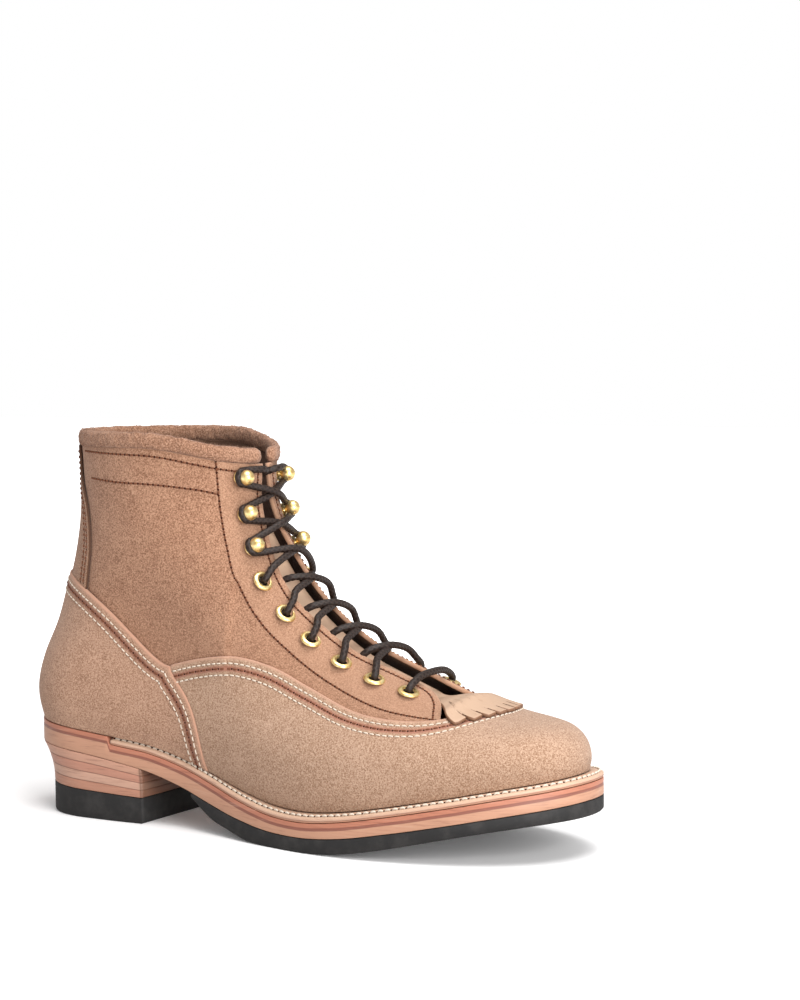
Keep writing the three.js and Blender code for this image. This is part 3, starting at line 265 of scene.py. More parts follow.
def curve(rows, column=1):
    """Smooth curve through the first and another column: cubic pieces whose slope at a row is the mean of the
    chords on both sides, each weighted by the other's gap, and straight beyond the ends."""
    xs = np.array([row[0] for row in rows], float)
    ys = np.array([row[column] for row in rows], float)
    gaps = np.diff(xs)
    chords = np.diff(ys) / gaps
    inner = (chords[:-1] * gaps[1:] + chords[1:] * gaps[:-1]) / (gaps[1:] + gaps[:-1])
    slopes = np.concatenate([chords[:1], inner, chords[-1:]])

    def at(x):
        x = np.asarray(x, float)
        i = np.clip(np.searchsorted(xs, x) - 1, 0, len(gaps) - 1)
        t = (x - xs[i]) / gaps[i]
        s = np.clip(t, 0, 1)
        bend = (s**3 - 2 * s**2 + s) * slopes[i] + (s**3 - s**2) * slopes[i + 1]
        value = ys[i] + (3 * s**2 - 2 * s**3) * (ys[i + 1] - ys[i]) + bend * gaps[i]
        return value + (t - s) * gaps[i] * np.where(t < 0, slopes[i], slopes[i + 1])

    return at


def ease(t):
    """Smooth step from 0 to 1: 3 t squared less 2 t cubed."""
    t = np.clip(t, 0, 1)
    return t * t * (3 - 2 * t)


def mix(a, b, t):
    """Straight mixture of a and b."""
    return a + (b - a) * t


HALVINGS = 26


def bisect(f, target, low, high):
    """Where a rising or falling function passes the target, by halving the span between low and high."""
    low = np.zeros(np.shape(target)) + low
    high = np.zeros(np.shape(target)) + high
    rising = f(high) > f(low)
    for _ in range(HALVINGS):
        middle = (low + high) / 2
        past = (f(middle) > target) == rising
        high = np.where(past, middle, high)
        low = np.where(past, low, middle)
    return (low + high) / 2


def arc_lengths(line):
    """Length along a line up to each of its points."""
    return np.concatenate([[0.0], np.cumsum(np.linalg.norm(np.diff(line, axis=0), axis=-1))])


feather_rise = curve(FEATHER_LINE, 1)
feather_outer = curve(FEATHER_LINE, 2)
feather_inner = curve(FEATHER_LINE, 3)
level_back = curve(LEVELS, 1)
level_outer = curve(LEVELS, 2)
level_inner = curve(LEVELS, 3)
level_back_depth = curve(LEVELS, 4)
level_front_depth = curve(LEVELS, 5)
swell = curve(SWELL)


def feather_height(x):
    """Height of the upper's lower edge."""
    return SEAT_HEIGHT * feather_rise(np.asarray(x) / LAST_LENGTH)


def level_share(z):
    """Height above the seat as a share of the shaft's rise."""
    return (np.asarray(z) - SEAT_HEIGHT) / SHAFT_RISE


def back_at(z):
    """Back of the heel and shaft at a height."""
    return LAST_LENGTH * level_back(level_share(z))


ridge_rows = np.array([(along * LAST_LENGTH, rise * SHAFT_RISE) for along, rise in RIDGE_LINE])
ridge_rows[:, 1] += feather_height(np.minimum(ridge_rows[:, 0], LAST_LENGTH))
ridge_arcs = arc_lengths(ridge_rows)
ridge_x = curve(list(zip(ridge_arcs, ridge_rows[:, 0])))
ridge_z = curve(list(zip(ridge_arcs, ridge_rows[:, 1])))
RIDGE_LENGTH = ridge_arcs[-1]

dense_arcs = np.linspace(0, RIDGE_LENGTH, 1501)
front_xs = ridge_x(dense_arcs)
front_zs = np.maximum.accumulate(ridge_z(dense_arcs))
toe_tip = int(np.argmax(front_xs))
over_xs = np.minimum.accumulate(front_xs[toe_tip:])[::-1]
over_zs = front_zs[toe_tip:][::-1]
SHIN_STEEPNESS = 8.0
CAP_POWER = 2.15  # of the rounding towards an edge of a section
CAP_SHARE = 0.82  # of the height that is rounded off
CAP_LIMIT = 85.0
BLEND_START = 22.0  # from foot to shaft sections, above the lower edge
BLEND_SPAN = 60.0
SLOPE_STEP = 0.25
SEAM_SPAN = 3.0  # beside the middle plane, where normals turn into it
BACK_ROUNDING = 0.8


def top_at(x):
    """Height of the centre line over x, steep behind the shaft's front."""
    return np.interp(x, over_xs, over_zs) + np.maximum(0, over_xs[0] - x) * SHIN_STEEPNESS


def rounded(t):
    """Share of the full width at t from the edge of a section: (1 - (1 - t)^p)^(1/p)."""
    return (1 - (1 - np.clip(t, 0, 1)) ** CAP_POWER) ** (1 / CAP_POWER)


def half_width(x, z, side):
    """Half width of the last at a point of the side view; side is -1 for the outer half, 1 for the inner."""
    outer = np.asarray(side) < 0
    share = x / LAST_LENGTH
    level = level_share(z)
    rise = z - feather_height(x)
    edge_half = np.where(outer, feather_outer(share), feather_inner(share))
    foot = BALL_WIDTH * (edge_half + swell(rise / SHAFT_RISE))
    shaft = SHAFT_WIDTH * np.where(outer, level_outer(level), level_inner(level))
    blend = ease((rise - BLEND_START) / BLEND_SPAN)
    top = top_at(x)
    cap = CAP_SHARE * (top - feather_height(x))
    depth_z = cap / (1 + (cap / CAP_LIMIT) ** 4) ** 0.25
    depth_x = SHAFT_WIDTH * level_front_depth(level)
    dx = np.maximum(np.interp(z, front_zs, front_xs) - x, 0) / depth_x
    dz = np.maximum(top - z, 0) / depth_z
    front = dx * dz / np.maximum(np.hypot(dx, dz), 1e-9)
    back = (x - back_at(z)) / (SHAFT_WIDTH * level_back_depth(level))
    return mix(foot, shaft, blend) * rounded(front) * rounded(back)


def centre_at(x):
    """The boot's middle plane swings to the inner side from the ball to the toe."""
    return TOE_SWING * ease((x / LAST_LENGTH - 0.5) / 0.5)


def on_last(side_view, side):
    """Point of the last's surface from a point (x, z) of the side view."""
    x, z = side_view[..., 0], side_view[..., 1]
    return np.stack([x, centre_at(x) + side * half_width(x, z, side), z], -1)


def unit(vectors):
    """Vectors of length 1."""
    return vectors / np.maximum(np.linalg.norm(vectors, axis=-1, keepdims=True), 1e-12)


def outward(points):
    """Unit normal of the last beside points near it: the slope of the distance from the middle plane less the
    half width, turned into the middle plane near it."""
    x, y, z = np.moveaxis(points, -1, 0)
    side = np.where(y < centre_at(x), -1.0, 1.0)
    h = SLOPE_STEP
    inner_x = np.maximum(x, back_at(z) + BACK_ROUNDING)
    slope_x = (half_width(inner_x + h, z, side) - half_width(inner_x - h, z, side)) / (2 * h)
    slope_z = (half_width(inner_x, z + h, side) - half_width(inner_x, z - h, side)) / (2 * h)
    lean = (centre_at(x + h) - centre_at(x - h)) / (2 * h)
    flat = np.clip(np.abs(y - centre_at(x)) / SEAM_SPAN, 0, 1)
    return unit(np.stack([-slope_x - side * lean, side * flat, -slope_z], -1))


SETTLE_REACH = 7.0


def settle(points, lift=0.0):
    """Points moved along the normal onto the last's surface, then lifted; gives points and normals."""
    normals = outward(points)

    def outside(distance):
        moved = points + normals * distance[..., None]
        x, y, z = np.moveaxis(moved, -1, 0)
        offset = y - centre_at(x)
        side = np.where(offset < 0, -1.0, 1.0)
        return np.where(half_width(x, z, side) > np.abs(offset) + 1e-6, -1.0, 1.0)

    distance = bisect(outside, np.zeros(points.shape[:-1]), -SETTLE_REACH, SETTLE_REACH)
    settled = points + normals * distance[..., None]
    return settled + normals * lift, normals


def collar_at(x):
    """Height of the upper's top edge, lower in front."""
    drop = COLLAR_DROP * ease((x / LAST_LENGTH - 0.28) / 0.19) ** 1.2
    return BOOT_HEIGHT - COLLAR_ROLL - GAP - drop


def meeting(f, size, low, high):
    """Where a function of one length is nought, between two shares of a size."""
    return float(bisect(f, 0.0, size * low, size * high))


COLLAR_ARC = meeting(lambda arc: ridge_z(arc) - collar_at(ridge_x(arc)), RIDGE_LENGTH, 0.8, 1)
SEAT_Z = meeting(lambda z: feather_height(back_at(z)) - z, SEAT_HEIGHT, 0.9, 1.1)
SEAT_X = float(back_at(SEAT_Z))
COLLAR_BACK_Z = meeting(lambda z: collar_at(back_at(z)) - z, BOOT_HEIGHT, 0.8, 1)


def pair(x, z):
    """A point or points (x, z) of the side view."""
    x, z = np.broadcast_arrays(x, z)
    return np.stack([x, z], -1)


def patch(bottom, top, back, front):
    """Side view between four edges, each a function of 0 to 1: the two mixtures of facing edges less the
    mixture of the corners."""

    def at(c, v):
        c, v = np.broadcast_arrays(np.asarray(c, float), np.asarray(v, float))
        a, b = c[..., None], v[..., None]
        edges = (1 - b) * bottom(c) + b * top(c) + (1 - a) * back(v) + a * front(v)
        low = (1 - a) * (1 - b) * bottom(0.0) + a * (1 - b) * bottom(1.0)
        high = (1 - a) * b * top(0.0) + a * b * top(1.0)
        return edges - low - high

    return at


def along_feather(start, end):
    """Edge along the upper's lower edge."""
    return lambda c: pair(mix(start, end, c), feather_height(mix(start, end, c)))


def along_back(low, high):
    """Edge up the back."""
    return lambda v: pair(back_at(mix(low, high, v)), mix(low, high, v))


def collar_edge(c):
    """Edge under the collar roll from back to front."""
    x = mix(back_at(COLLAR_BACK_Z), ridge_x(COLLAR_ARC), c)
    return pair(x, collar_at(x))


whole_upper = patch(
    along_feather(SEAT_X, ridge_x(0.0)),
    collar_edge,
    along_back(SEAT_Z, COLLAR_BACK_Z),
    lambda v: pair(ridge_x(v * COLLAR_ARC), ridge_z(v * COLLAR_ARC)),
)


DEEPEST = 60.0
NEAREST = 0.4


def on_upper(along, across, lift=0.0):
    """Points measured from the centre line: along it as a share up to the collar, across it in millimetres
    and lifted off the surface; gives the points and the normals."""
    along, across = np.broadcast_arrays(np.asarray(along, float), np.asarray(across, float))
    arc = along * COLLAR_ARC
    x, z = ridge_x(arc), ridge_z(arc)
    run = unit(pair(ridge_x(arc + 1) - ridge_x(arc - 1), ridge_z(arc + 1) - ridge_z(arc - 1)))
    in_x, in_z = -run[..., 1], run[..., 0]
    side = np.where(across < 0, -1.0, 1.0)
    depth = bisect(lambda t: half_width(x + in_x * t, z + in_z * t, side), np.abs(across), 0.0, DEEPEST)
    near = np.maximum(depth, NEAREST)
    near_x, near_z = x + in_x * near, z + in_z * near
    probe = np.stack([near_x, centre_at(near_x) + side, near_z], -1)
    normals = outward(probe)
    level = np.stack([-in_x, np.zeros_like(in_x), -in_z], -1)
    share = np.clip(1 - np.abs(across) / SEAM_SPAN, 0, 1)[..., None]
    normals = unit(mix(normals, level, share))
    px, pz = x + in_x * depth, z + in_z * depth
    points = np.stack([px, centre_at(px) + across, pz], -1)
    return points + normals * np.asarray(lift)[..., None], normals


print("centre line up to the collar", round(COLLAR_ARC, 1), "mm")
print("half width of the ball", round(float(half_width(200.0, 40.0, -1.0)), 1), "mm")

# %% [markdown]
# ## Meshes
#
# Leather is a sheet: a grid on the last given two sides, with a rounded cut edge wherever the grid ends. A
# Solidify modifier could do it, but its edges are square. The helper here makes every panel, so that all
# edges have the soft roundness of cut leather and each point knows whether it is cut, inside or outside.

# %% Mesh helpers


def signed_volume(points, blocks):
    """Volume enclosed by faces, negative when they face inwards."""
    total = 0.0
    for block in blocks:
        for k in range(1, block.shape[1] - 1):
            a, b, c = points[block[:, 0]], points[block[:, k]], points[block[:, k + 1]]
            total += float(np.sum(a * np.cross(b, c)))
    return total / 6


def make_piece(name, points, blocks, material, replaced=(), marks=None):
    """Closed mesh from points in millimetres and blocks of faces, riding on the boot."""
    points = np.asarray(points, float).reshape(-1, 3)
    blocks = [np.asarray(block, int) for block in blocks if len(block)]
    if signed_volume(points - points.mean(0), blocks) < 0:
        blocks = [block[:, ::-1] for block in blocks]
    placed = (points - [HEEL_REST, 0.0, 0.0]) / 1000
    sizes = np.concatenate([np.full(len(block), block.shape[1]) for block in blocks])
    corners = np.concatenate([block.ravel() for block in blocks])
    mesh = bpy.data.meshes.new(name)
    mesh.vertices.add(len(placed))
    mesh.vertices.foreach_set("co", placed.ravel())
    mesh.loops.add(len(corners))
    mesh.loops.foreach_set("vertex_index", corners.astype(np.int32))
    mesh.polygons.add(len(sizes))
    mesh.polygons.foreach_set("loop_start", (np.cumsum(sizes) - sizes).astype(np.int32))
    mesh.update(calc_edges=True)
    mesh.validate()
    mesh.shade_smooth()
    for label, values in (marks or {}).items():
        attribute = mesh.attributes.new(label, "FLOAT", "POINT")
        attribute.data.foreach_set("value", np.asarray(values, np.float32).ravel())
    mesh.materials.append(material)
    piece = bpy.data.objects.new(name, mesh)
    bpy.context.scene.collection.objects.link(piece)
    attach(piece, "root")
    if replaced:
        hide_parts(*replaced)


def grid_cells(rows, columns, wrap=False):
    """Four-cornered cells of a grid stored row by row."""
    j, i = np.meshgrid(np.arange(rows - 1), np.arange(columns if wrap else columns - 1), indexing="ij")
    k = (i + 1) % columns
    return np.stack([j * columns + i, j * columns + k, (j + 1) * columns + k, (j + 1) * columns + i], -1)


def tube_faces(stations, sides):
    """Faces of a closed tube whose rings are stored one after another: its wall and its two ends."""
    ring = np.arange(sides)
    caps = np.stack([ring[::-1], (stations - 1) * sides + ring])
    return [grid_cells(stations, sides, wrap=True).reshape(-1, 4), caps]


def repeated(faces, count, size):
    """Faces of one small mesh of size points, numbered on for count copies of it."""
    offsets = np.arange(count)[:, None, None] * size
    return (faces + offsets).reshape(-1, faces.shape[-1])


RIM_STEPS = 5


def leather_sheet(points, normals, low, high, cells, marks=None, bulge=0.32):
    """Both sides of a leather sheet and its cut edges. Where a cell's edge has no neighbour, a rim joins the
    sides as half an ellipse: the mixture of both sides by (1 - cos a) / 2, moved out by bulge times sin a."""
    points, normals = points.reshape(-1, 3), normals.reshape(-1, 3)
    low = np.broadcast_to(np.asarray(low, float).reshape(-1, 1), (len(points), 1))
    high = np.broadcast_to(np.asarray(high, float).reshape(-1, 1), (len(points), 1))
    cells = cells.reshape(-1, 4)
    outer = points + normals * high
    inner = points + normals * low
    starts, ends = cells.ravel(), np.roll(cells, -1, axis=1).ravel()
    keys = np.minimum(starts, ends) * len(points) + np.maximum(starts, ends)
    _, where, counts = np.unique(keys, return_inverse=True, return_counts=True)
    free = counts[where] == 1
    starts, ends = starts[free], ends[free]
    along = np.zeros_like(points)
    step = unit(points[ends] - points[starts])
    np.add.at(along, starts, step)
    np.add.at(along, ends, step)
    middles = np.zeros_like(points)
    touching = np.zeros((len(points), 1))
    centres = points[cells].mean(1)
    for k in range(4):
        np.add.at(middles, cells[:, k], centres)
        np.add.at(touching, cells[:, k], 1.0)
    middles = middles / np.maximum(touching, 1)
    out = unit(np.cross(along, normals))
    out = out * np.sign(np.sum(out * (points - middles), -1, keepdims=True))
    edge = np.unique(starts)
    place = np.zeros(len(points), int)
    place[edge] = np.arange(len(edge))
    thick = np.abs(high - low)[edge]
    blocks = [cells, cells[:, ::-1] + len(points)]
    layers = [outer, inner]
    chain = [np.arange(len(points))]
    for k in range(1, RIM_STEPS + 1):
        turn = pi * k / (RIM_STEPS + 1)
        ring = mix(outer[edge], inner[edge], (1 - cos(turn)) / 2) + out[edge] * bulge * thick * sin(turn)
        chain.append(2 * len(points) + (k - 1) * len(edge) + place)
        layers.append(ring)
    chain.append(np.arange(len(points)) + len(points))
    for here, after in zip(chain[:-1], chain[1:]):
        blocks.append(np.stack([here[ends], here[starts], after[starts], after[ends]], -1))
    every = {}
    for label, values in (marks or {}).items():
        values = np.ravel(values)
        every[label] = np.concatenate([values, values, *[values[edge]] * RIM_STEPS])
    side, rims = np.zeros(len(points)), np.zeros(RIM_STEPS * len(edge))
    every["cut"] = np.concatenate([side, side, rims + 1])
    every["inside"] = np.concatenate([side, side + 1, rims])
    all_points = np.concatenate(layers)
    kept = np.unique(np.concatenate([block.ravel() for block in blocks]))
    renumber = np.zeros(len(all_points), int)
    renumber[kept] = np.arange(len(kept))
    return all_points[kept], [renumber[block] for block in blocks], {k: v[kept] for k, v in every.items()}


FACE_STEP = 0.004


def face_normals(face, us, vs, turned):
    """Unit normals of a surface face(u, v) from short steps across it, turned outwards by the sign given."""
    h = FACE_STEP
    across = face(us + h, vs) - face(us - h, vs)
    up = face(us, np.minimum(vs + h, 1)) - face(us, np.maximum(vs - h, 0))
    return unit(np.cross(across, up)) * turned


def distance_to(points, line, chunk_size=40):
    """Least distance from each point to the points of a finely divided line, a few of them at a time."""
    flat = points.reshape(-1, 3)
    best = np.full(len(flat), np.inf)
    for chunk in np.array_split(line, max(1, len(line) // chunk_size)):
        gaps = np.linalg.norm(flat[:, None, :] - chunk[None, :, :], axis=-1).min(1)
        best = np.minimum(best, gaps)
    return best.reshape(points.shape[:-1])


def divide(line, pitch):
    """Points along a line at an even pitch."""
    arcs = arc_lengths(line)
    count = max(2, int(round(arcs[-1] / pitch)))
    marks = np.linspace(0, arcs[-1], count + 1)
    return np.stack([np.interp(marks, arcs, line[:, k]) for k in range(3)], -1)


print("mesh helpers ready")

# %% [markdown]
# ## Finishes
#
# Rough-out leather is the flesh side of the hide: a short dull nap with cloudy colour, pale where it is
# brushed and brown where it lies flat. The smooth leathers have fine grain, the sole's edge shows its layers,
# and the rubber is matt. The nap, the stitched edge and the grain are node groups, so that the pieces share
# them.

# %% Node helpers
BRIGHTNESS = 0.67  # share of the seen colour that the leather itself has under this light


def tone(red, green, blue, share=BRIGHTNESS):
    """Linear colour from a seen colour of 0 to 255."""
    seen = np.array([red, green, blue]) / 255
    linear = np.where(seen <= 0.04045, seen / 12.92, ((seen + 0.055) / 1.055) ** 2.4) * share
    return (float(linear[0]), float(linear[1]), float(linear[2]), 1.0)


def add(tree, kind, inputs=None, **settings):
    """Node with its settings, and its inputs linked to sockets or set to values."""
    made = tree.nodes.new(kind)
    for key, value in settings.items():
        setattr(made, key, value)
    for key, value in (inputs or {}).items():
        if isinstance(value, bpy.types.NodeSocket):
            tree.links.new(value, made.inputs[key])
        else:
            made.inputs[key].default_value = value
    return made


def on_piece(tree):
    """Place on the piece in its own coordinates."""
    return add(tree, "ShaderNodeTexCoord").outputs["Object"]


def math(tree, operation, *values):
    """Math node's result."""
    return add(tree, "ShaderNodeMath", dict(enumerate(values)), operation=operation).outputs[0]


def blend(tree, share, a, b):
    """Colour between a and b."""
    made = add(tree, "ShaderNodeMix", {0: share, 6: a, 7: b}, data_type="RGBA")
    return made.outputs[2]


def span(tree, value, low, high, to_low=0.0, to_high=1.0):
    """Value mapped from low and high to another span, smoothly and kept inside it."""
    inputs = {"Value": value, "From Min": low, "From Max": high, "To Min": to_low, "To Max": to_high}
    made = add(tree, "ShaderNodeMapRange", inputs, interpolation_type="SMOOTHSTEP")
    return made.outputs["Result"]


def mark(tree, label):
    """Value stored on the piece's points."""
    return add(tree, "ShaderNodeAttribute", attribute_name=label).outputs["Fac"]


def noise(tree, place, scale, detail=3.0, roughness=0.55):
    """Cloudy values about 0.5."""
    inputs = {"Vector": place, "Scale": scale, "Detail": detail, "Roughness": roughness}
    return add(tree, "ShaderNodeTexNoise", inputs).outputs["Fac"]


def new_group(name, inputs, outputs):
    """Node group with its sockets; gives the tree, its inputs and a function that sets its outputs."""
    tree = bpy.data.node_groups.new(name, "ShaderNodeTree")
    for label, kind in inputs:
        tree.interface.new_socket(label, in_out="INPUT", socket_type=kind)
    for label, kind in outputs:
        tree.interface.new_socket(label, in_out="OUTPUT", socket_type=kind)
    source = tree.nodes.new("NodeGroupInput")
    sink = tree.nodes.new("NodeGroupOutput")

    def close(**results):
        for label, socket in results.items():
            tree.links.new(socket, sink.inputs[label])
        return tree

    return tree, source.outputs, close


def use(tree, group, inputs):
    """Outputs of a node that uses a group."""
    return add(tree, "ShaderNodeGroup", inputs, node_tree=group).outputs


def new_finish(name, roughness, fixed=None):
    """Material and its shader, with the fixed values on the shader's own sockets."""
    material = bpy.data.materials.new(name)
    material.use_nodes = True
    shader = material.node_tree.nodes["Principled BSDF"]
    shader.inputs["Roughness"].default_value = roughness
    for label, value in (fixed or {}).items():
        shader.inputs[label].default_value = value
    return material, material.node_tree, shader


def finish_with(tree, shader, colour, height=None, distance=0.0004, strength=0.6):
    """Colour and relief given to the shader."""
    tree.links.new(colour, shader.inputs["Base Color"])
    if height is not None:
        made = add(tree, "ShaderNodeBump", {"Height": height, "Distance": distance, "Strength": strength})
        tree.links.new(made.outputs["Normal"], shader.inputs["Normal"])


COLOUR = "NodeSocketColor"
NUMBER = "NodeSocketFloat"
RELIEF = [("Color", COLOUR), ("Height", NUMBER)]
SEAM_ROWS = (2.8, 5.4, 8.4)  # from the cut edge of vamp and counter cover
print("node helpers ready")

# %% Shared effects


def make_nap_group():
    """Nap: wide clouds and small flecks of colour, and a relief of short fibres."""
    tree, given, close = new_group("nap", [("Main", COLOUR), ("Brushed", COLOUR), ("Flat", COLOUR)], RELIEF)
    place = on_piece(tree)
    clouds = noise(tree, place, 38.0, 3.0, 0.6)
    patches = noise(tree, place, 150.0, 3.0, 0.6)
    flecks = noise(tree, place, 1350.0, 4.0, 0.75)
    fibres = noise(tree, place, 2300.0, 2.0, 0.6)
    colour = blend(tree, span(tree, clouds, 0.42, 0.68, 0.0, 0.3), given["Main"], given["Brushed"])
    colour = blend(tree, span(tree, patches, 0.5, 0.3, 0.0, 0.3), colour, given["Flat"])
    colour = blend(tree, span(tree, flecks, 0.5, 0.38, 0.0, 1.0), colour, given["Flat"])
    colour = blend(tree, span(tree, flecks, 0.5, 0.62, 0.0, 1.0), colour, given["Brushed"])
    mixed = math(tree, "ADD", math(tree, "MULTIPLY", flecks, 0.75), math(tree, "MULTIPLY", fibres, 0.35))
    height = math(tree, "ADD", mixed, math(tree, "MULTIPLY", patches, 0.35))
    return close(Color=colour, Height=height)


def make_seam_group():
    """Stitched edge by distance from the cut: a pale rim, a red-brown worn band, the grooves of the rows."""
    asked = [("Color", COLOUR), ("Band", COLOUR), ("Rim", COLOUR)]
    tree, given, close = new_group("stitched_edge", asked, RELIEF)
    place = on_piece(tree)
    distance = mark(tree, "edge_mm")
    wander = math(tree, "MULTIPLY", math(tree, "SUBTRACT", noise(tree, place, 260.0), 0.5), 1.1)
    distance = math(tree, "ADD", distance, wander)
    off = math(tree, "ABSOLUTE", math(tree, "SUBTRACT", distance, SEAM_ROWS[1]))
    band = span(tree, off, 2.1, 0.5, 0.0, 0.85)
    colour = blend(tree, band, given["Color"], given["Band"])
    rim = span(tree, distance, 1.3, 0.2, 0.0, 0.7)
    colour = blend(tree, rim, colour, given["Rim"])
    grooves = None
    for row in SEAM_ROWS:
        away = math(tree, "ABSOLUTE", math(tree, "SUBTRACT", distance, row))
        dip = span(tree, away, 1.3, 0.0, 0.0, 1.0)
        grooves = dip if grooves is None else math(tree, "ADD", grooves, dip)
    return close(Color=colour, Height=math(tree, "MULTIPLY", grooves, -0.55))


def make_grain_group():
    """Smooth grain: fine pebbles with faint creases."""
    tree, given, close = new_group("grain", [("Main", COLOUR), ("Dark", COLOUR)], RELIEF)
    place = on_piece(tree)
    clouds = noise(tree, place, 60.0, 3.0)
    pebbles = add(tree, "ShaderNodeTexVoronoi", {"Vector": place, "Scale": 900.0}, feature="F1")
    cells = pebbles.outputs["Distance"]
    creases = noise(tree, place, 230.0, 3.0, 0.65)
    colour = blend(tree, span(tree, clouds, 0.45, 0.7, 0.0, 0.4), given["Main"], given["Dark"])
    colour = blend(tree, span(tree, creases, 0.42, 0.28, 0.0, 0.5), colour, given["Dark"])
    height = math(tree, "ADD", math(tree, "MULTIPLY", cells, 0.5), math(tree, "MULTIPLY", creases, 0.5))
    return close(Color=colour, Height=height)


NAP = make_nap_group()
SEAM = make_seam_group()
GRAIN = make_grain_group()


def make_rough_out(name, main, brushed, flat, band=None, rim=None, inside=(118, 84, 62), marks=()):
    """Rough-out leather, darker inside, pinkish where it is cut, with the worn band of a stitched edge."""
    material, tree, shader = new_finish(
        name, 0.95, {"Sheen Weight": 0.12, "Sheen Roughness": 0.55, "Specular IOR Level": 0.2}
    )
    nap = use(tree, NAP, {"Main": tone(*main), "Brushed": tone(*brushed), "Flat": tone(*flat)})
    colour, height = nap["Color"], nap["Height"]
    for label, shade, share in marks:
        colour = blend(tree, math(tree, "MULTIPLY", mark(tree, label), share), colour, tone(*shade))
    if band:
        seam = use(tree, SEAM, {"Color": colour, "Band": tone(*band), "Rim": tone(*rim)})
        colour = seam["Color"]
        height = math(tree, "ADD", height, seam["Height"])
    colour = blend(tree, mark(tree, "cut"), colour, tone(*(rim or brushed)))
    colour = blend(tree, mark(tree, "inside"), colour, tone(*inside))
    finish_with(tree, shader, colour, height, 0.0005, 0.7)
    return material


def make_smooth(name, main, dark, roughness, relief=0.25, cut=None):
    """Smooth leather with fine grain."""
    material, tree, shader = new_finish(name, roughness, {"Specular IOR Level": 0.4})
    grain = use(tree, GRAIN, {"Main": tone(*main), "Dark": tone(*dark)})
    colour = grain["Color"]
    if cut:
        colour = blend(tree, mark(tree, "cut"), colour, tone(*cut))
    finish_with(tree, shader, colour, grain["Height"], 0.0003, relief)
    return material


# the low mark is painted light: the shaft is lighter lower down and darker at its top
rough_shaft = make_rough_out(
    "rough_out_shaft", (172, 127, 100), (206, 160, 130), (130, 88, 64), inside=(112, 80, 60),
    marks=[("stay", (206, 162, 132), 0.3), ("low", (184, 139, 110), 0.25)],
)
rough_vamp = make_rough_out(
    "rough_out_vamp", (188, 152, 125), (218, 182, 156), (156, 117, 91), (178, 118, 96), (214, 166, 140)
)
rough_counter = make_rough_out(
    "rough_out_counter", (192, 150, 123), (222, 180, 152), (156, 114, 88), (160, 104, 84), (206, 158, 132)
)
rough_stay = make_rough_out(
    "rough_out_backstay", (172, 129, 102), (206, 164, 134), (132, 92, 68), rim=(98, 68, 50)
)
rough_roll = make_rough_out(
    "rough_out_roll", (166, 122, 96), (204, 160, 132), (124, 84, 62), inside=(166, 122, 96)
)
smooth_kiltie = make_smooth("smooth_kiltie", (212, 177, 149), (188, 150, 122), 0.55, 0.2, (142, 102, 76))
smooth_tongue = make_smooth("smooth_tongue", (190, 138, 116), (156, 108, 88), 0.6, 0.25, (170, 120, 98))
smooth_insole = make_smooth("smooth_insole", (206, 166, 132), (170, 128, 96), 0.6, 0.25)
print("leathers", len(bpy.data.materials))

# %% Sole, metal and cord finishes


EDGE_STRETCH = (60.0, 60.0, 900.0)  # long along the edge, fine up and down


def make_layered(name, layers, line, top=None, breast=None):
    """Edge of stacked leather: colours by depth below the top, with a thin darker line where two meet, rubbed
    and streaked along the edge, and painted shade on a heel's breast when a breast colour is given."""
    material, tree, shader = new_finish(name, 0.5, {"Specular IOR Level": 0.45})
    place = on_piece(tree)
    stretched = add(tree, "ShaderNodeMapping", {"Vector": place, "Scale": EDGE_STRETCH})
    streaks = noise(tree, stretched.outputs["Vector"], 1.0, 4.0, 0.65)
    fine = noise(tree, place, 700.0, 3.0, 0.6)
    wander = math(tree, "MULTIPLY", math(tree, "SUBTRACT", noise(tree, place, 45.0), 0.5), 0.5)
    depth = math(tree, "ADD", mark(tree, "depth_mm"), wander)
    colour = None
    for start, shade in layers:
        here = tone(*shade)
        if colour is None:
            colour = blend(tree, 0.0, here, here)
        else:
            colour = blend(tree, span(tree, depth, start - 0.35, start + 0.35), colour, here)
    for start, _ in layers[1:]:
        away = math(tree, "ABSOLUTE", math(tree, "SUBTRACT", depth, start))
        colour = blend(tree, span(tree, away, 0.42, 0.08, 0.0, 0.6), colour, tone(*line))
    colour = blend(tree, span(tree, streaks, 0.5, 0.25, 0.0, 0.45), colour, tone(*line))
    colour = blend(tree, span(tree, streaks, 0.55, 0.75, 0.0, 0.3), colour, tone(240, 205, 180))
    if top:
        colour = blend(tree, mark(tree, "top"), colour, tone(*top))
    # painted shade: the heel's breast, turned away from the lamps, is darkened towards the breast colour
    if breast:
        colour = blend(tree, math(tree, "MULTIPLY", mark(tree, "breast"), 0.7), colour, tone(*breast))
    height = math(tree, "ADD", math(tree, "MULTIPLY", streaks, 0.6), math(tree, "MULTIPLY", fine, 0.4))
    finish_with(tree, shader, colour, height, 0.00025, 0.35)
    return material


def make_rubber(name, main, worn):
    """Matt rubber with dusty patches."""
    material, tree, shader = new_finish(name, 0.72, {"Specular IOR Level": 0.35})
    place = on_piece(tree)
    dust = noise(tree, place, 90.0, 5.0, 0.65)
    fine = noise(tree, place, 1500.0, 2.0)
    colour = blend(tree, span(tree, dust, 0.42, 0.7), tone(*main), tone(*worn))
    finish_with(tree, shader, colour, fine, 0.0002, 0.25)
    return material


def make_brass():
    """Brass, with painted shade, nearly black, on the disc that closes its hole."""
    material, tree, shader = new_finish("brass", 0.34, {"Metallic": 0.9})
    place = on_piece(tree)
    rub = noise(tree, place, 500.0, 3.0)
    colour = blend(tree, span(tree, rub, 0.35, 0.7), tone(222, 186, 118, 1.0), tone(250, 228, 168, 1.0))
    # painted shade: inside the hole's radius the brass is coloured nearly black
    colour = blend(tree, mark(tree, "hole_shade"), colour, tone(20, 14, 10, 1.0))
    finish_with(tree, shader, colour, rub, 0.0001, 0.1)
    return material


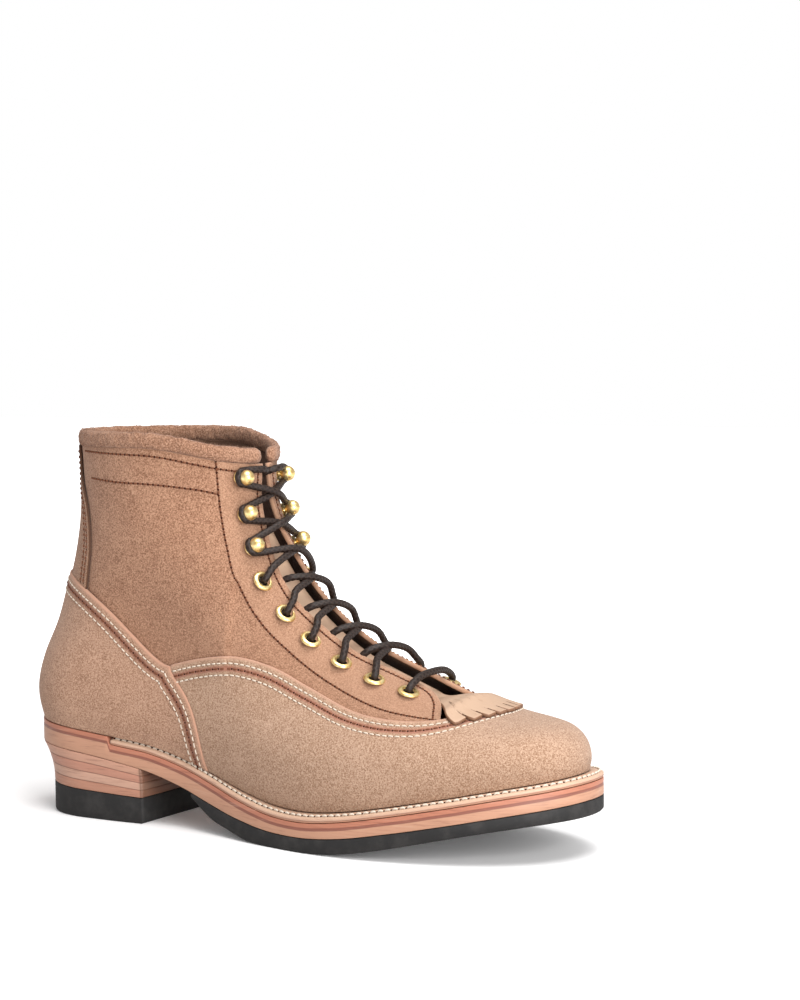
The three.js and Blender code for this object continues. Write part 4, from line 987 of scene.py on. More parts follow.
def make_cord():
    """Waxed cord, brown-black, with grey on its raised strands that is partly wax bloom and partly painted
    highlight.
    """
    material, tree, shader = new_finish("waxed_cord", 0.5, {"Specular IOR Level": 0.28})
    place = on_piece(tree)
    fine = noise(tree, place, 1800.0, 2.0)
    raised = mark(tree, "raised")
    # partly wax bloom, partly painted highlight: the raised strands are coloured grey
    bloom_and_highlight = math(tree, "MULTIPLY", raised, span(tree, fine, 0.35, 0.65, 0.35, 1.0))
    colour = blend(tree, math(tree, "MULTIPLY", bloom_and_highlight, 0.55), tone(30, 18, 13), tone(88, 70, 62))
    finish_with(tree, shader, colour, fine, 0.0002, 0.3)
    return material


def make_thread(name, shade, dark):
    """Stitching thread."""
    material, tree, shader = new_finish(name, 0.85, {"Specular IOR Level": 0.12})
    place = on_piece(tree)
    fine = noise(tree, place, 2500.0, 2.0)
    finish_with(tree, shader, blend(tree, fine, tone(*dark), tone(*shade)))
    return material


WELT_LAYERS = [(0.0, (232, 190, 162)), (2.6, (214, 158, 128))]  # depth below the top, colour
MIDSOLE_LAYERS = [(0.0, (206, 134, 106)), (2.3, (160, 98, 82)), (3.3, (214, 160, 130))]
STACK_LAYERS = [
    (0.0, (222, 168, 142)),
    (4.6, (212, 152, 128)),
    (9.6, (224, 176, 152)),
    (14.6, (206, 148, 122)),
]
welt_leather = make_layered("welt_leather", WELT_LAYERS, (150, 96, 78), top=(234, 196, 168))
midsole_leather = make_layered("midsole_leather", MIDSOLE_LAYERS, (128, 76, 62))
# the breast colour is painted shade on the heel's front face
stack_leather = make_layered("stack_leather", STACK_LAYERS, (120, 78, 60), breast=(104, 70, 48))
black_rubber = make_rubber("black_rubber", (40, 39, 39), (58, 56, 55))
brass = make_brass()
cord_finish = make_cord()
white_thread = make_thread("white_thread", (252, 240, 224), (224, 204, 184))
brown_thread = make_thread("brown_thread", (142, 92, 68), (108, 64, 46))
# painted shade: the needle holes are dark brown cones
hole_shade_finish = make_thread("stitch_hole_shade", (84, 44, 30), (56, 28, 20))

WHITE = (1.0, 1.0, 1.0, 1.0)
floor_finish, floor_tree, floor_shader = new_finish("floor_paint", 0.6, {"Emission Color": WHITE})
from_boot = add(floor_tree, "ShaderNodeVectorMath", {0: on_piece(floor_tree)}, operation="LENGTH")
floor_glow = span(floor_tree, from_boot.outputs["Value"], 0.25, 0.8, 0.06, 1.2)
floor_tree.links.new(floor_glow, floor_shader.inputs["Emission Strength"])
floor_rays = floor_tree.nodes.new("ShaderNodeLightPath").outputs["Is Camera Ray"]
floor_colour = blend(floor_tree, floor_rays, (0.62, 0.6, 0.59, 1.0), (0.96, 0.95, 0.95, 1.0))
finish_with(floor_tree, floor_shader, floor_colour)
floor_mesh.materials.append(floor_finish)
print("finishes", len(bpy.data.materials))

# %% [markdown]
# ## Upper
#
# Quarters and shaft are one wall from the closed toe to the collar. It is open at the throat, where the two
# facings end in cut edges, and the leather before the eyestay seam is brushed paler by the laces.

# %% Upper
BRIDGE = 0.12
COLUMN_EVENNESS = 0.4
throat_half_share = curve(THROAT)
EYESTAY_SEAM = [  # along and height
    (122.2, 177.9), (122.5, 170.0), (123.3, 159.8), (125.6, 148.1), (129.8, 134.6), (134.0, 123.0),
    (143.5, 107.2), (151.0, 99.1), (163.2, 89.6), (179.4, 79.8), (197.8, 71.7), (216.3, 66.1), (231.9, 63.5),
    (242.0, 62.3),
]


def throat_half(v):
    """Half the distance between the facings."""
    return THROAT_GAP * throat_half_share(v)


def upper_face(u, v):
    """Outer face of the upper: u runs from facing to facing round the back, then on to the centre line."""
    u, v = np.broadcast_arrays(np.asarray(u, float), np.asarray(v, float))
    turn = 2 * (1 + BRIDGE)
    wrapped = u - turn * np.round(u / turn)
    side = np.where(wrapped < 0, -1.0, 1.0)
    far = np.abs(wrapped)

    def width(c):
        at = whole_upper(c, v)
        return half_width(at[..., 0], at[..., 1], side)

    facing = bisect(width, throat_half(v), 0.5, 1.0)
    within = facing * mix((1 - np.cos(pi * far)) / 2, far, COLUMN_EVENNESS * far)
    past = np.clip(1 - (far - 1) / BRIDGE, 0, 1) ** CAP_POWER
    c = np.where(far <= 1, within, 1 - (1 - facing) * past)
    return on_last(whole_upper(c, v), side)


def stay_share(points):
    """How far a point lies ahead of the eyestay seam, from 0 to 1."""
    rows = np.array(EYESTAY_SEAM)[::-1]
    seam_x = np.interp(points[..., 2], rows[:, 1], rows[:, 0])
    return ease((points[..., 0] - seam_x + 0.6) / 1.2)


UPPER_COLUMNS = 260
UPPER_ROWS = (46, 130)  # below and above the throat's front end
BRIDGE_COLUMNS = 8
bridge = np.linspace(1, 1 + BRIDGE, BRIDGE_COLUMNS + 1)[1:]
upper_us = np.concatenate([-bridge[::-1], np.linspace(-1, 1, UPPER_COLUMNS + 1), bridge[:-1]])
closed_vs, open_vs = np.linspace(0, THROAT_END, UPPER_ROWS[0]), np.linspace(THROAT_END, 1, UPPER_ROWS[1])
upper_vs = np.concatenate([closed_vs, open_vs[1:]])
grid_u, grid_v = np.meshgrid(upper_us, upper_vs)
upper_points = upper_face(grid_u, grid_v)
upper_normals = face_normals(upper_face, grid_u, grid_v, -1)
upper_points[-1, :, 2] = collar_at(upper_points[-1, :, 0])
upper_cells = grid_cells(len(upper_vs), len(upper_us), wrap=True)
cell_v = upper_vs[:-1][:, None] >= THROAT_END - 1e-9
cell_u = np.arange(len(upper_us))[None, :]
in_bridge = (cell_u < BRIDGE_COLUMNS) | (cell_u >= len(upper_us) - BRIDGE_COLUMNS)
# painted light: the low mark is 1 below 70 mm and 0 above 120 mm, and lightens the shaft there
upper_marks = {"stay": stay_share(upper_points), "low": ease((120 - upper_points[..., 2]) / 50)}
points, blocks, marks = leather_sheet(
    upper_points, upper_normals, -LEATHER, 0.0, upper_cells[~(cell_v & in_bridge)], upper_marks, 0.3
)
make_piece("upper_leather", points, blocks, rough_shaft, ["upper"], marks)
print("upper", len(points), "points")

# %% [markdown]
# ## Vamp, counter cover and backstay
#
# These rough-out panels lie over the upper. Their cut edges are thick and lit, and the stitched rows beside
# them have pulled the leather down and worn it red-brown.

# %% Overlay panels
vamp_edge_rise = curve(VAMP_EDGE)
counter_top_rise = curve(COUNTER_TOP)
counter_front_along = curve(COUNTER_FRONT)
backstay_along = curve(BACKSTAY_EDGE)
VAMP_CLEAR = 0.9
VAMP_LIMIT = 0.24
BACKSTAY_CLEAR = 0.8
VAMP_ARC = VAMP_LIMIT * COLLAR_ARC


def vamp_edge(x):
    """Height of the vamp's cut edge."""
    return SEAT_HEIGHT + SHAFT_RISE * vamp_edge_rise(x / LAST_LENGTH)


def counter_top(x):
    """Height of the counter cover's top edge."""
    return SEAT_HEIGHT + SHAFT_RISE * counter_top_rise(x / LAST_LENGTH)


def counter_front(z):
    """Front edge of the counter cover."""
    return LAST_LENGTH * counter_front_along(level_share(z))


def backstay_edge(z):
    """Front edge of the backstay."""
    return LAST_LENGTH * backstay_along(level_share(z))


COUNTER_FOOT = meeting(lambda x: counter_front(feather_height(x)) - x, LAST_LENGTH, 0.3, 0.5)
COUNTER_CORNER = LAST_LENGTH * 0.335
COUNTER_BACK_Z = meeting(lambda z: counter_top(back_at(z)) - z, BOOT_HEIGHT, 0.5, 0.75)
CORNER_Z = float(counter_top(COUNTER_CORNER))


def counter_top_edge(c):
    """Top edge from the back to the front corner."""
    x = mix(back_at(COUNTER_BACK_Z), COUNTER_CORNER, c)
    return pair(x, mix(counter_top(x), CORNER_Z, c**6))


def counter_front_edge(v):
    """Front edge from the foot to the corner."""
    z = mix(feather_height(COUNTER_FOOT), CORNER_Z, v)
    return pair(mix(counter_front(z), COUNTER_CORNER, np.asarray(v) ** 6), z)


counter_patch = patch(
    along_feather(SEAT_X, COUNTER_FOOT),
    counter_top_edge,
    along_back(SEAT_Z, COUNTER_BACK_Z),
    counter_front_edge,
)


def side_of(u):
    """Outer half for negative u, inner half otherwise."""
    return np.where(np.asarray(u) < 0, -1.0, 1.0)


def counter_face(u, v):
    """Counter cover, from its outer front edge round the heel to its inner one."""
    return on_last(counter_patch(1 - np.cos(pi / 2 * np.abs(u)), v), side_of(u))


VAMP_FOOT = COUNTER_FOOT + VAMP_CLEAR
VAMP_TOP = COUNTER_CORNER + VAMP_CLEAR
VAMP_TOP_Z = float(vamp_edge(VAMP_TOP))


def vamp_top_edge(c):
    """Cut edge from the counter cover to the centre line before the throat."""
    x = mix(VAMP_TOP, ridge_x(VAMP_ARC), c)
    return pair(x, mix(vamp_edge(x), ridge_z(VAMP_ARC), np.asarray(c) ** 12))


def vamp_back_edge(v):
    """Back edge along the counter cover."""
    z = mix(feather_height(VAMP_FOOT), VAMP_TOP_Z, v)
    return pair(mix(counter_front(z) + VAMP_CLEAR, VAMP_TOP, np.asarray(v) ** 6), z)


vamp_patch = patch(
    along_feather(VAMP_FOOT, ridge_x(0.0)),
    vamp_top_edge,
    vamp_back_edge,
    lambda v: pair(ridge_x(v * VAMP_ARC), ridge_z(v * VAMP_ARC)),
)


def vamp_face(u, v):
    """Vamp, from the outer counter cover round the toe to the inner one."""
    return on_last(vamp_patch(np.cos(pi / 2 * np.abs(u)), v), side_of(u))


STAY_FOOT = COUNTER_BACK_Z + BACKSTAY_CLEAR
STAY_SIDE = meeting(lambda z: counter_top(backstay_edge(z)) + BACKSTAY_CLEAR - z, BOOT_HEIGHT, 0.4, 0.8)


def stay_bottom_edge(c):
    """Lower edge along the counter cover."""
    x = mix(back_at(STAY_FOOT), backstay_edge(STAY_SIDE), c)
    return pair(x, mix(counter_top(x) + BACKSTAY_CLEAR, STAY_SIDE, np.asarray(c) ** 4))


def stay_top_edge(c):
    """Upper edge under the collar roll."""
    x = mix(back_at(COLLAR_BACK_Z), backstay_edge(COLLAR_BACK_Z), c)
    return pair(x, collar_at(x))


def stay_front_edge(v):
    """Front edge up the shaft."""
    z = mix(STAY_SIDE, COLLAR_BACK_Z, v)
    return pair(backstay_edge(z), z)


stay_patch = patch(stay_bottom_edge, stay_top_edge, along_back(STAY_FOOT, COLLAR_BACK_Z), stay_front_edge)


def stay_face(u, v):
    """Backstay, from its outer edge round the back to its inner one."""
    return on_last(stay_patch(1 - np.cos(pi / 2 * np.abs(u)), v), side_of(u))


SOLE_CLEAR = 0.05


def make_overlay(name, face, columns, rows, turned, thick, edge_line, material, node, on_sole=True):
    """Panel over the upper: a grid on its face that stores each point's distance from the stitched edge."""
    us, vs = np.meshgrid(np.linspace(-1, 1, columns + 1), np.linspace(0, 1, rows + 1))
    grid = face(us, vs)
    normals = face_normals(face, us, vs, turned)
    cells = grid_cells(rows + 1, columns + 1)
    stored = {"edge_mm": distance_to(grid, edge_line)}
    low = LAYER_GAP
    sheet_points, sheet_blocks, sheet_marks = leather_sheet(grid, normals, low, low + thick, cells, stored)
    if on_sole:
        lowest = feather_height(sheet_points[:, 0]) + SOLE_CLEAR
        sheet_points[:, 2] = np.maximum(sheet_points[:, 2], lowest)
    make_piece(name, sheet_points, sheet_blocks, material, [node], sheet_marks)


line_us = np.linspace(-1, 1, 700)
line_vs = np.linspace(0, 1, 160)


def edge_lines(face, share, over_top):
    """Lines at a share of the way out to a panel's edges: up the outer end, over the top, down the inner."""
    over = [face(line_us, np.full(line_us.shape, share))] if over_top else []
    ends = [face(np.full(line_vs.shape, side * share), line_vs[::int(-side)]) for side in (-1.0, 1.0)]
    return np.concatenate([ends[0], *over, ends[1]])


vamp_line = vamp_face(line_us, np.ones(line_us.shape))
counter_lines = edge_lines(counter_face, 1.0, True)
stay_lines = edge_lines(stay_face, 1.0, False)
make_overlay("vamp_leather", vamp_face, 320, 84, 1, OVERLAY, vamp_line, rough_vamp, "vamp")
make_overlay(
    "counter_leather", counter_face, 200, 90, -1, COUNTER, counter_lines, rough_counter, "counter_cover"
)
make_overlay("backstay_leather", stay_face, 80, 90, -1, BACKSTAY, stay_lines, rough_stay, "backstay", False)
print("vamp edge crosses the centre line at", round(float(ridge_x(VAMP_ARC)), 1))

# %% [markdown]
# ## Stitching
#
# Rows of lock stitches follow each edge: short threads sunk at both ends, with a needle hole between them,
# a dark cone of painted shade. One function divides a line at the stitch pitch and puts a thread on each
# division.

# %% Stitches
THREAD_SIDES = 6
thread_stations = np.array([0.0, 0.12, 0.35, 0.65, 0.88, 1.0])
thread_heights = np.array([-0.5, 0.25, 0.62, 0.62, 0.25, -0.5])
thread_widths = np.array([0.55, 0.9, 1.0, 1.0, 0.9, 0.55])
stitch_store = {"white": [], "brown": []}
hole_store = []


def threads(starts, ends, normals, radius):
    """Points of one bent thread for each pair of ends: rings of six round the stations of a low arch."""
    along = ends - starts
    across = unit(np.cross(normals, along))
    rings = []
    for share, height, width in zip(thread_stations, thread_heights, thread_widths):
        middle = mix(starts, ends, share) + normals * height * radius
        for k in range(THREAD_SIDES):
            turn = 2 * pi * k / THREAD_SIDES
            rings.append(middle + (across * cos(turn) + normals * sin(turn)) * radius * width)
    return np.stack(rings, 1)


HOLE_SHARES = {"white": 0.7, "brown": 1.35}  # of the thread's radius
BROWN_SEAM = (2.7, "brown", 0.44, 0.62)  # pitch, colour, thread radius, share of the pitch that is thread
STAY_SEAM = (2.8, "brown", 0.36, 0.62)
WHITE_ROW = (3.1, "white", 0.36)
MIDDLE_ROW = (3.6, "brown", 0.4, 0.6)


def stitch_row(line, distance, towards, lift, pitch, colour, radius, share=0.78):
    """Row of stitches at a distance from a line on the last. Each point of the line moves over the surface,
    square to the line and to the side of towards. Points that come nearer to the line again are left out."""
    run = np.gradient(line, axis=0)
    normals = outward(line)
    square = unit(np.cross(normals, run))
    square = square * np.sign(np.sum(square * towards, -1, keepdims=True))
    moved, _ = settle(line + square * distance)
    if distance > 0.5:
        near = distance_to(moved, line)
        moved = moved[near > distance * 0.93]
    spots, spot_normals = settle(divide(moved, pitch), lift)
    starts, ends = spots[:-1], spots[1:]
    middle_normals = unit(spot_normals[:-1] + spot_normals[1:])
    gap = (1 - share) / 2
    first, last = mix(starts, ends, gap), mix(starts, ends, 1 - gap)
    stitch_store[colour].append(threads(first, last, middle_normals, radius))
    hole_store.append((spots, spot_normals, np.full(len(spots), radius * HOLE_SHARES[colour])))


def triple_rows(line, towards, lift):
    """Two white rows with a dark row between them, as round the vamp and the counter cover."""
    for distance, row in zip(SEAM_ROWS, (WHITE_ROW, MIDDLE_ROW, WHITE_ROW)):
        stitch_row(line, distance, towards, lift, *row)


INSIDE = 0.9  # share of a panel at which a line lies inside its edge
triple_rows(vamp_line, vamp_face(line_us, np.full(line_us.shape, INSIDE)) - vamp_line, LAYER_GAP + OVERLAY)
triple_rows(counter_lines, edge_lines(counter_face, INSIDE, True) - counter_lines, LAYER_GAP + COUNTER)

COLLAR_BAND = [(46.0, 169.3), (75.3, 167.6), (92.2, 167.0), (106.4, 165.6), (118.9, 163.4), (122.8, 162.2)]
BAND_START = 53.0
FACING_SEAM = 3.0
UNDER_COLLAR = 0.986
STAY_SEAMS = (2.2, 5.0)
stay_rows = np.array(EYESTAY_SEAM)
stay_steps = arc_lengths(stay_rows)
stay_x = curve(list(zip(stay_steps, stay_rows[:, 0])))
stay_z = curve(list(zip(stay_steps, stay_rows[:, 1])))
band_z = curve(COLLAR_BAND)
steps = np.linspace(0, stay_steps[-1], 300)
band_xs = np.linspace(BAND_START, COLLAR_BAND[-1][0], 200)
under_us = np.linspace(0.24, 0.985, 260)
facing_vs = np.linspace(THROAT_END + 0.004, 0.985, 300)
strip_vs = np.linspace(0.03, 0.98, 160)
for side in (-1.0, 1.0):
    seam = on_last(pair(stay_x(steps), stay_z(steps)), side)
    stitch_row(seam, 0.0, np.ones_like(seam), 0.0, *BROWN_SEAM)
    facing = upper_face(side, facing_vs)
    stitch_row(facing, FACING_SEAM, upper_face(side * INSIDE, facing_vs) - facing, 0.0, *BROWN_SEAM)
    band = on_last(pair(band_xs, band_z(band_xs)), side)
    stitch_row(band, 0.0, np.ones_like(band), 0.0, *BROWN_SEAM)
    under = upper_face(under_us * side, UNDER_COLLAR)
    stitch_row(under, 0.0, np.ones_like(under), 0.0, *BROWN_SEAM)
    stay_edge = stay_face(side, strip_vs)
    stay_inside = stay_face(side * INSIDE, strip_vs)
    for distance in STAY_SEAMS:
        stitch_row(stay_edge, distance, stay_inside - stay_edge, LAYER_GAP + BACKSTAY, *STAY_SEAM)


def make_threads(name, every, finish):
    """Threads of one kind as one mesh, each a ringed tube closed at both ends."""
    rings = len(thread_stations)
    blocks = [repeated(block, len(every), rings * THREAD_SIDES) for block in tube_faces(rings, THREAD_SIDES)]
    make_piece(name, every, blocks, finish, ())
    print(name, len(every))


HOLE_SIDES = 8
HOLE_RISE = 0.12
HOLE_DEPTH = 0.3


def make_holes(name, store):
    """Needle holes as painted shade: an eight-sided double cone each, coloured dark, its tip just out of the
    leather and its foot in it.
    """
    spots, normals, radii = (np.concatenate(column) for column in zip(*store))
    first = unit(np.cross(normals, np.array([0.3, 0.8, 0.5])))
    second = np.cross(normals, first)
    around = np.arange(HOLE_SIDES)
    turns = 2 * pi * around / HOLE_SIDES
    corners = [spots + (first * cos(a) + second * sin(a)) * radii[:, None] for a in turns]
    every = np.stack([spots + normals * HOLE_RISE, *corners, spots - normals * HOLE_DEPTH], 1)
    after = (around + 1) % HOLE_SIDES
    upper_side = np.stack([0 * around, 1 + around, 1 + after], -1)
    lower_side = np.stack([0 * around + HOLE_SIDES + 1, 1 + after, 1 + around], -1)
    faces = np.concatenate([upper_side, lower_side])
    make_piece(name, every, [repeated(faces, len(spots), HOLE_SIDES + 2)], hole_shade_finish, ())


make_threads("stitches_white", np.concatenate(stitch_store["white"]), white_thread)
make_threads("stitches_brown", np.concatenate(stitch_store["brown"]), brown_thread)
make_holes("needle_holes", hole_store)

# %% [markdown]
# ## Collar roll
#
# A strip of rough-out is rolled over the top edge with its flesh side out. It is the hairiest part of the
# boot, so its surface is uneven and short fibres stand out of it.

# %% Collar roll
ROLL_STATIONS = 420
ROLL_SIDES = 28
ROLL_HALF = LEATHER / 2 + COLLAR_BULGE
ROLL_END = 0.018  # share of the roll over which its ends close
WAVES = 12
rng = np.random.default_rng(7)


def ripple(points, size, height, seed):
    """Smooth unevenness: the sum of some waves of fixed random directions, about size long."""
    picks = np.random.default_rng(seed)
    waves = unit(picks.normal(size=(WAVES, 3))) * 2 * pi / (size * picks.uniform(0.6, 1.5, (WAVES, 1)))
    phases = picks.uniform(0, 2 * pi, WAVES)
    return height * np.sin(points @ waves.T + phases).sum(-1) / 3.5


roll_us = np.linspace(-1, 1, ROLL_STATIONS)
roll_normals = face_normals(upper_face, roll_us, np.ones(ROLL_STATIONS), -1)
roll_normals[:, 2] = 0
roll_out = unit(roll_normals)
roll_middle = upper_face(roll_us, np.ones(ROLL_STATIONS)) - roll_out * LEATHER / 2
roll_middle[:, 2] = collar_at(roll_middle[:, 0]) + GAP + COLLAR_ROLL / 2
roll_turns = np.linspace(0, 2 * pi, ROLL_SIDES, endpoint=False)
flat_sine = np.sign(np.sin(roll_turns)) * np.abs(np.sin(roll_turns)) ** 0.8
flat_cosine = np.sign(np.cos(roll_turns)) * np.abs(np.cos(roll_turns)) ** 0.75
end_share = rounded(np.minimum(1 + roll_us, 1 - roll_us) / ROLL_END)[:, None, None]
roll_dirs = roll_out[:, None, :] * flat_cosine[None, :, None] * ROLL_HALF
roll_dirs[..., 2] = flat_sine * COLLAR_ROLL / 2
roll_points = roll_middle[:, None, :] + roll_dirs * np.maximum(end_share, 0.02)
roll_lumps = ripple(roll_points, 9.0, 0.14, 3) + ripple(roll_points, 2.6, 0.16, 4)
roll_points = roll_points + unit(roll_dirs) * (roll_lumps * end_share[..., 0])[..., None]
roll_points[..., 2] = np.maximum(roll_points[..., 2], collar_at(roll_points[..., 0]) + 0.05)
roll_points[..., 2] = np.minimum(roll_points[..., 2], BOOT_HEIGHT + 0.3)
make_piece(
    "collar_roll_leather", roll_points, tube_faces(ROLL_STATIONS, ROLL_SIDES), rough_roll, ["collar_roll"],
    {label: np.zeros(roll_points[..., 0].size) for label in ("cut", "inside")},
)


def make_pile(name, roots, normals, length, width, seed, finish):
    """Short hairs: thin three-sided spikes that lean about their normal by a fixed random amount."""
    picks = np.random.default_rng(seed)
    count = len(roots)
    lean = unit(normals + picks.normal(0, 0.55, (count, 3)))
    first = unit(np.cross(lean, np.array([0.2, 0.4, 0.9])))
    second = np.cross(lean, first)
    sizes = width * picks.uniform(0.6, 1.2, (count, 1))
    reach = length * picks.uniform(0.45, 1.25, (count, 1))
    base = roots - normals * 0.2
    corners = [base + (first * cos(a) + second * sin(a)) * sizes for a in np.arange(3) * 2 * pi / 3]
    every = np.stack([*corners, base + lean * reach], 1)
    faces = np.array([[0, 1, 3], [1, 2, 3], [2, 0, 3], [2, 1, 0]])
    stored = {label: np.zeros(count * 4) for label in ("cut", "inside")}
    make_piece(name, every, [repeated(faces, count, 4)], finish, (), stored)


HAIRS = 9000
HAIR_LENGTH = 1.5
HAIR_WIDTH = 0.08
hair_rows = rng.integers(4, ROLL_STATIONS - 4, HAIRS)
hair_sides = rng.integers(0, ROLL_SIDES, HAIRS)
hair_next = (hair_sides + 1) % ROLL_SIDES
hair_mix = rng.uniform(0, 1, (HAIRS, 1))
hair_roots = mix(roll_points[hair_rows, hair_sides], roll_points[hair_rows, hair_next], hair_mix)
ways = unit(roll_dirs)
hair_normals = unit(mix(ways[hair_rows, hair_sides], ways[hair_rows, hair_next], hair_mix))
make_pile("collar_roll_nap", hair_roots, hair_normals, HAIR_LENGTH, HAIR_WIDTH, 11, rough_roll)
print("collar roll", round(float(roll_points[..., 2].max()), 1), "mm high")

# %% [markdown]
# ## Tongue and kiltie
#
# The tongue lines the throat and leans back at its top. The kiltie is a smooth false tongue: it lies under
# the laces, comes out of the throat and ends over the vamp in a fringe of nine tabs. The middle tab reaches
# furthest and the others step back to both sides.

# %% Tongue and kiltie
LACE_ROOM = 2 * LACE_RADIUS + 0.72
KILTIE_DEPTH = LEATHER + LACE_ROOM + OVERLAY
TONGUE_DEPTH = KILTIE_DEPTH + 0.5
TONGUE_FOOT = 0.27  # these are shares along the centre line
TONGUE_TOP = 1.012
TONGUE_CORNERS = 0.035
TONGUE_LEAN = 24.0  # of its top, back into the shaft
LEAN_START = 0.62
FRINGE_START = 0.207
FRINGE_END = 0.87
FRINGE_TABS = 9
FRINGE_CUT = 0.026
FRINGE_ROUNDING = 0.055
TAB_SLANT = 0.25  # how much each tab's end follows the arc of the fringe
TAB_ROUNDING = 0.004
TAB_CURL = 0.1
CURL_REACH = 0.04
KILTIE_DIVE = (0.3, 0.375)
KILTIE_STEP = (0.29, 0.31)
TONGUE_GRID = (121, 61)
KILTIE_GRID = (100, 289)


def between(t, ends):
    """Smooth step from 0 to 1 between two places."""
    return ease((t - ends[0]) / (ends[1] - ends[0]))


tongue_us, tongue_vs = np.meshgrid(np.linspace(-1, 1, TONGUE_GRID[1]), np.linspace(0, 1, TONGUE_GRID[0]))
tongue_half = SHAFT_WIDTH * 0.3 * mix(0.85, 1, tongue_vs)
tongue_along = mix(TONGUE_FOOT, TONGUE_TOP - TONGUE_CORNERS * np.abs(tongue_us) ** 4, tongue_vs)
tongue_lean = TONGUE_LEAN * between(tongue_vs, (LEAN_START, 1)) ** 1.3
tongue_points = on_upper(tongue_along, tongue_us * tongue_half, -TONGUE_DEPTH - tongue_lean)[0]
tongue_normals = unit(np.cross(np.gradient(tongue_points, axis=1), np.gradient(tongue_points, axis=0)))
points, blocks, marks = leather_sheet(tongue_points, tongue_normals, -TONGUE, 0.0, grid_cells(*TONGUE_GRID))
make_piece("tongue_leather", points, blocks, smooth_tongue, ["tongue"], marks)

kiltie_half_share = curve(KILTIE_SHAPE)
kiltie_rows, kiltie_columns = np.linspace(0, 1, KILTIE_GRID[0]) ** 1.25, np.linspace(-1, 1, KILTIE_GRID[1])
kiltie_us, kiltie_vs = np.meshgrid(kiltie_columns, kiltie_rows)
tab_place = (kiltie_us + 1) / 2 * FRINGE_TABS
tab_gap = np.abs(tab_place - np.round(tab_place))
at_cut = (np.abs(kiltie_us) < 0.95) * ease((0.12 - tab_gap) / 0.05)
tab_middle = np.clip(np.floor(tab_place) + 0.5, 0.5, FRINGE_TABS - 0.5)
tab_round = TAB_ROUNDING * (2 * np.abs(tab_place - tab_middle)) ** 3
tab_us = mix(2 * tab_middle / FRINGE_TABS - 1, kiltie_us, TAB_SLANT)
kiltie_start = FRINGE_START + FRINGE_CUT * at_cut + FRINGE_ROUNDING * tab_us**2 + tab_round
kiltie_along = mix(kiltie_start, FRINGE_END, kiltie_vs)
kiltie_across = kiltie_us * THROAT_GAP * kiltie_half_share(kiltie_along)
on_facing = mix(2 * LAYER_GAP + OVERLAY, LAYER_GAP, between(kiltie_along, KILTIE_STEP))
kiltie_base = mix(on_facing, -KILTIE_DEPTH, between(kiltie_along, KILTIE_DIVE))
near_tip = np.clip(1 - (kiltie_along - kiltie_start) / CURL_REACH, 0, 1)
tab_curl = TAB_CURL * (1 - np.cos(2 * pi * tab_place) * near_tip)
kiltie_points, kiltie_normals = on_upper(kiltie_along, kiltie_across, kiltie_base + tab_curl)
points, blocks, marks = leather_sheet(kiltie_points, kiltie_normals, 0.0, OVERLAY, grid_cells(*KILTIE_GRID))
make_piece("kiltie_leather", points, blocks, smooth_kiltie, ["kiltie"], marks)
print("kiltie tabs", FRINGE_TABS)

# %% [markdown]
# ## Sole
#
# Welt, midsole, half sole, heel stack and top piece all follow one outline, the upper's lower edge moved out.
# Each is a stack of rings of that outline, with small rounded corners, and stores its depth below its top so
# that the edge can show its layers.

# %% Sole helpers
sole_reach_share = curve(SOLE_EDGE)
midsole_share = curve(MIDSOLE_DEPTH)
underside = curve(RUBBER_UNDERSIDE)
OUTLINE_STEP = 0.002
SLIVER = 0.03  # keeps the two halves of a ring apart where they meet
DENSE = np.linspace(0, 1, 1200)


def round_share(t):
    """Even steps of an angle as shares from 0 to 1."""
    return (1 - np.cos(pi * np.asarray(t))) / 2


def sole_reach(x):
    """How far the sole stands out past the upper's lower edge."""
    return SOLE_REACH * sole_reach_share(x / LAST_LENGTH)


def lower_edge(t, side):
    """Point of the upper's lower edge, from heel to toe, laid on the floor."""
    at = on_last(whole_upper(np.clip(t, 0, 1), np.zeros_like(t)), side)
    at[..., 2] = 0
    return at


def outline(t, side, reach):
    """Lower edge moved out square to itself by reach(x)."""
    c = round_share(t)
    h = OUTLINE_STEP
    run = lower_edge(c + h, side) - lower_edge(c - h, side)
    run = np.where((c < h)[..., None], np.array([0.0, side, 0.0]), run)
    run = np.where((c > 1 - h)[..., None], np.array([0.0, -side, 0.0]), run)
    out = unit(np.stack([run[..., 1], -run[..., 0], np.zeros_like(c)], -1)) * -side
    at = lower_edge(c, side)
    return at + out * reach(at[..., 0])[..., None]


def footprint(inset, start=None, end=None, count=220, ends=14):
    """Closed ring of the outline between two places along the boot, moved in by inset: the outer half from
    back to front, then the inner half back again, each with half of the straight ends."""
    halves = []
    for side in (-1.0, 1.0):
        def reach(x):
            return sole_reach(x) - inset

        xs = outline(DENSE, side, reach)[..., 0]
        first = 0.0 if start is None else float(np.interp(start + inset, xs, DENSE))
        last = 1.0 if end is None else float(np.interp(end - inset, xs, DENSE))
        half = outline(np.linspace(first, last, count), side, reach)
        sliver = np.array([0.0, side * SLIVER, 0.0])
        shares = np.linspace(0.04, 1, ends)[:-1, None]
        if start is None:
            half[0] += sliver
        else:
            middle = np.array([half[0, 0], centre_at(half[0, 0]), 0.0])
            half = np.concatenate([mix(middle, half[0], shares), half])
        if end is None:
            half[-1] += sliver
        else:
            middle = np.array([half[-1, 0], centre_at(half[-1, 0]), 0.0])
            half = np.concatenate([half, mix(middle, half[-1], shares)[::-1]])
        halves.append(half)
    return np.concatenate([halves[0], halves[1][::-1]])


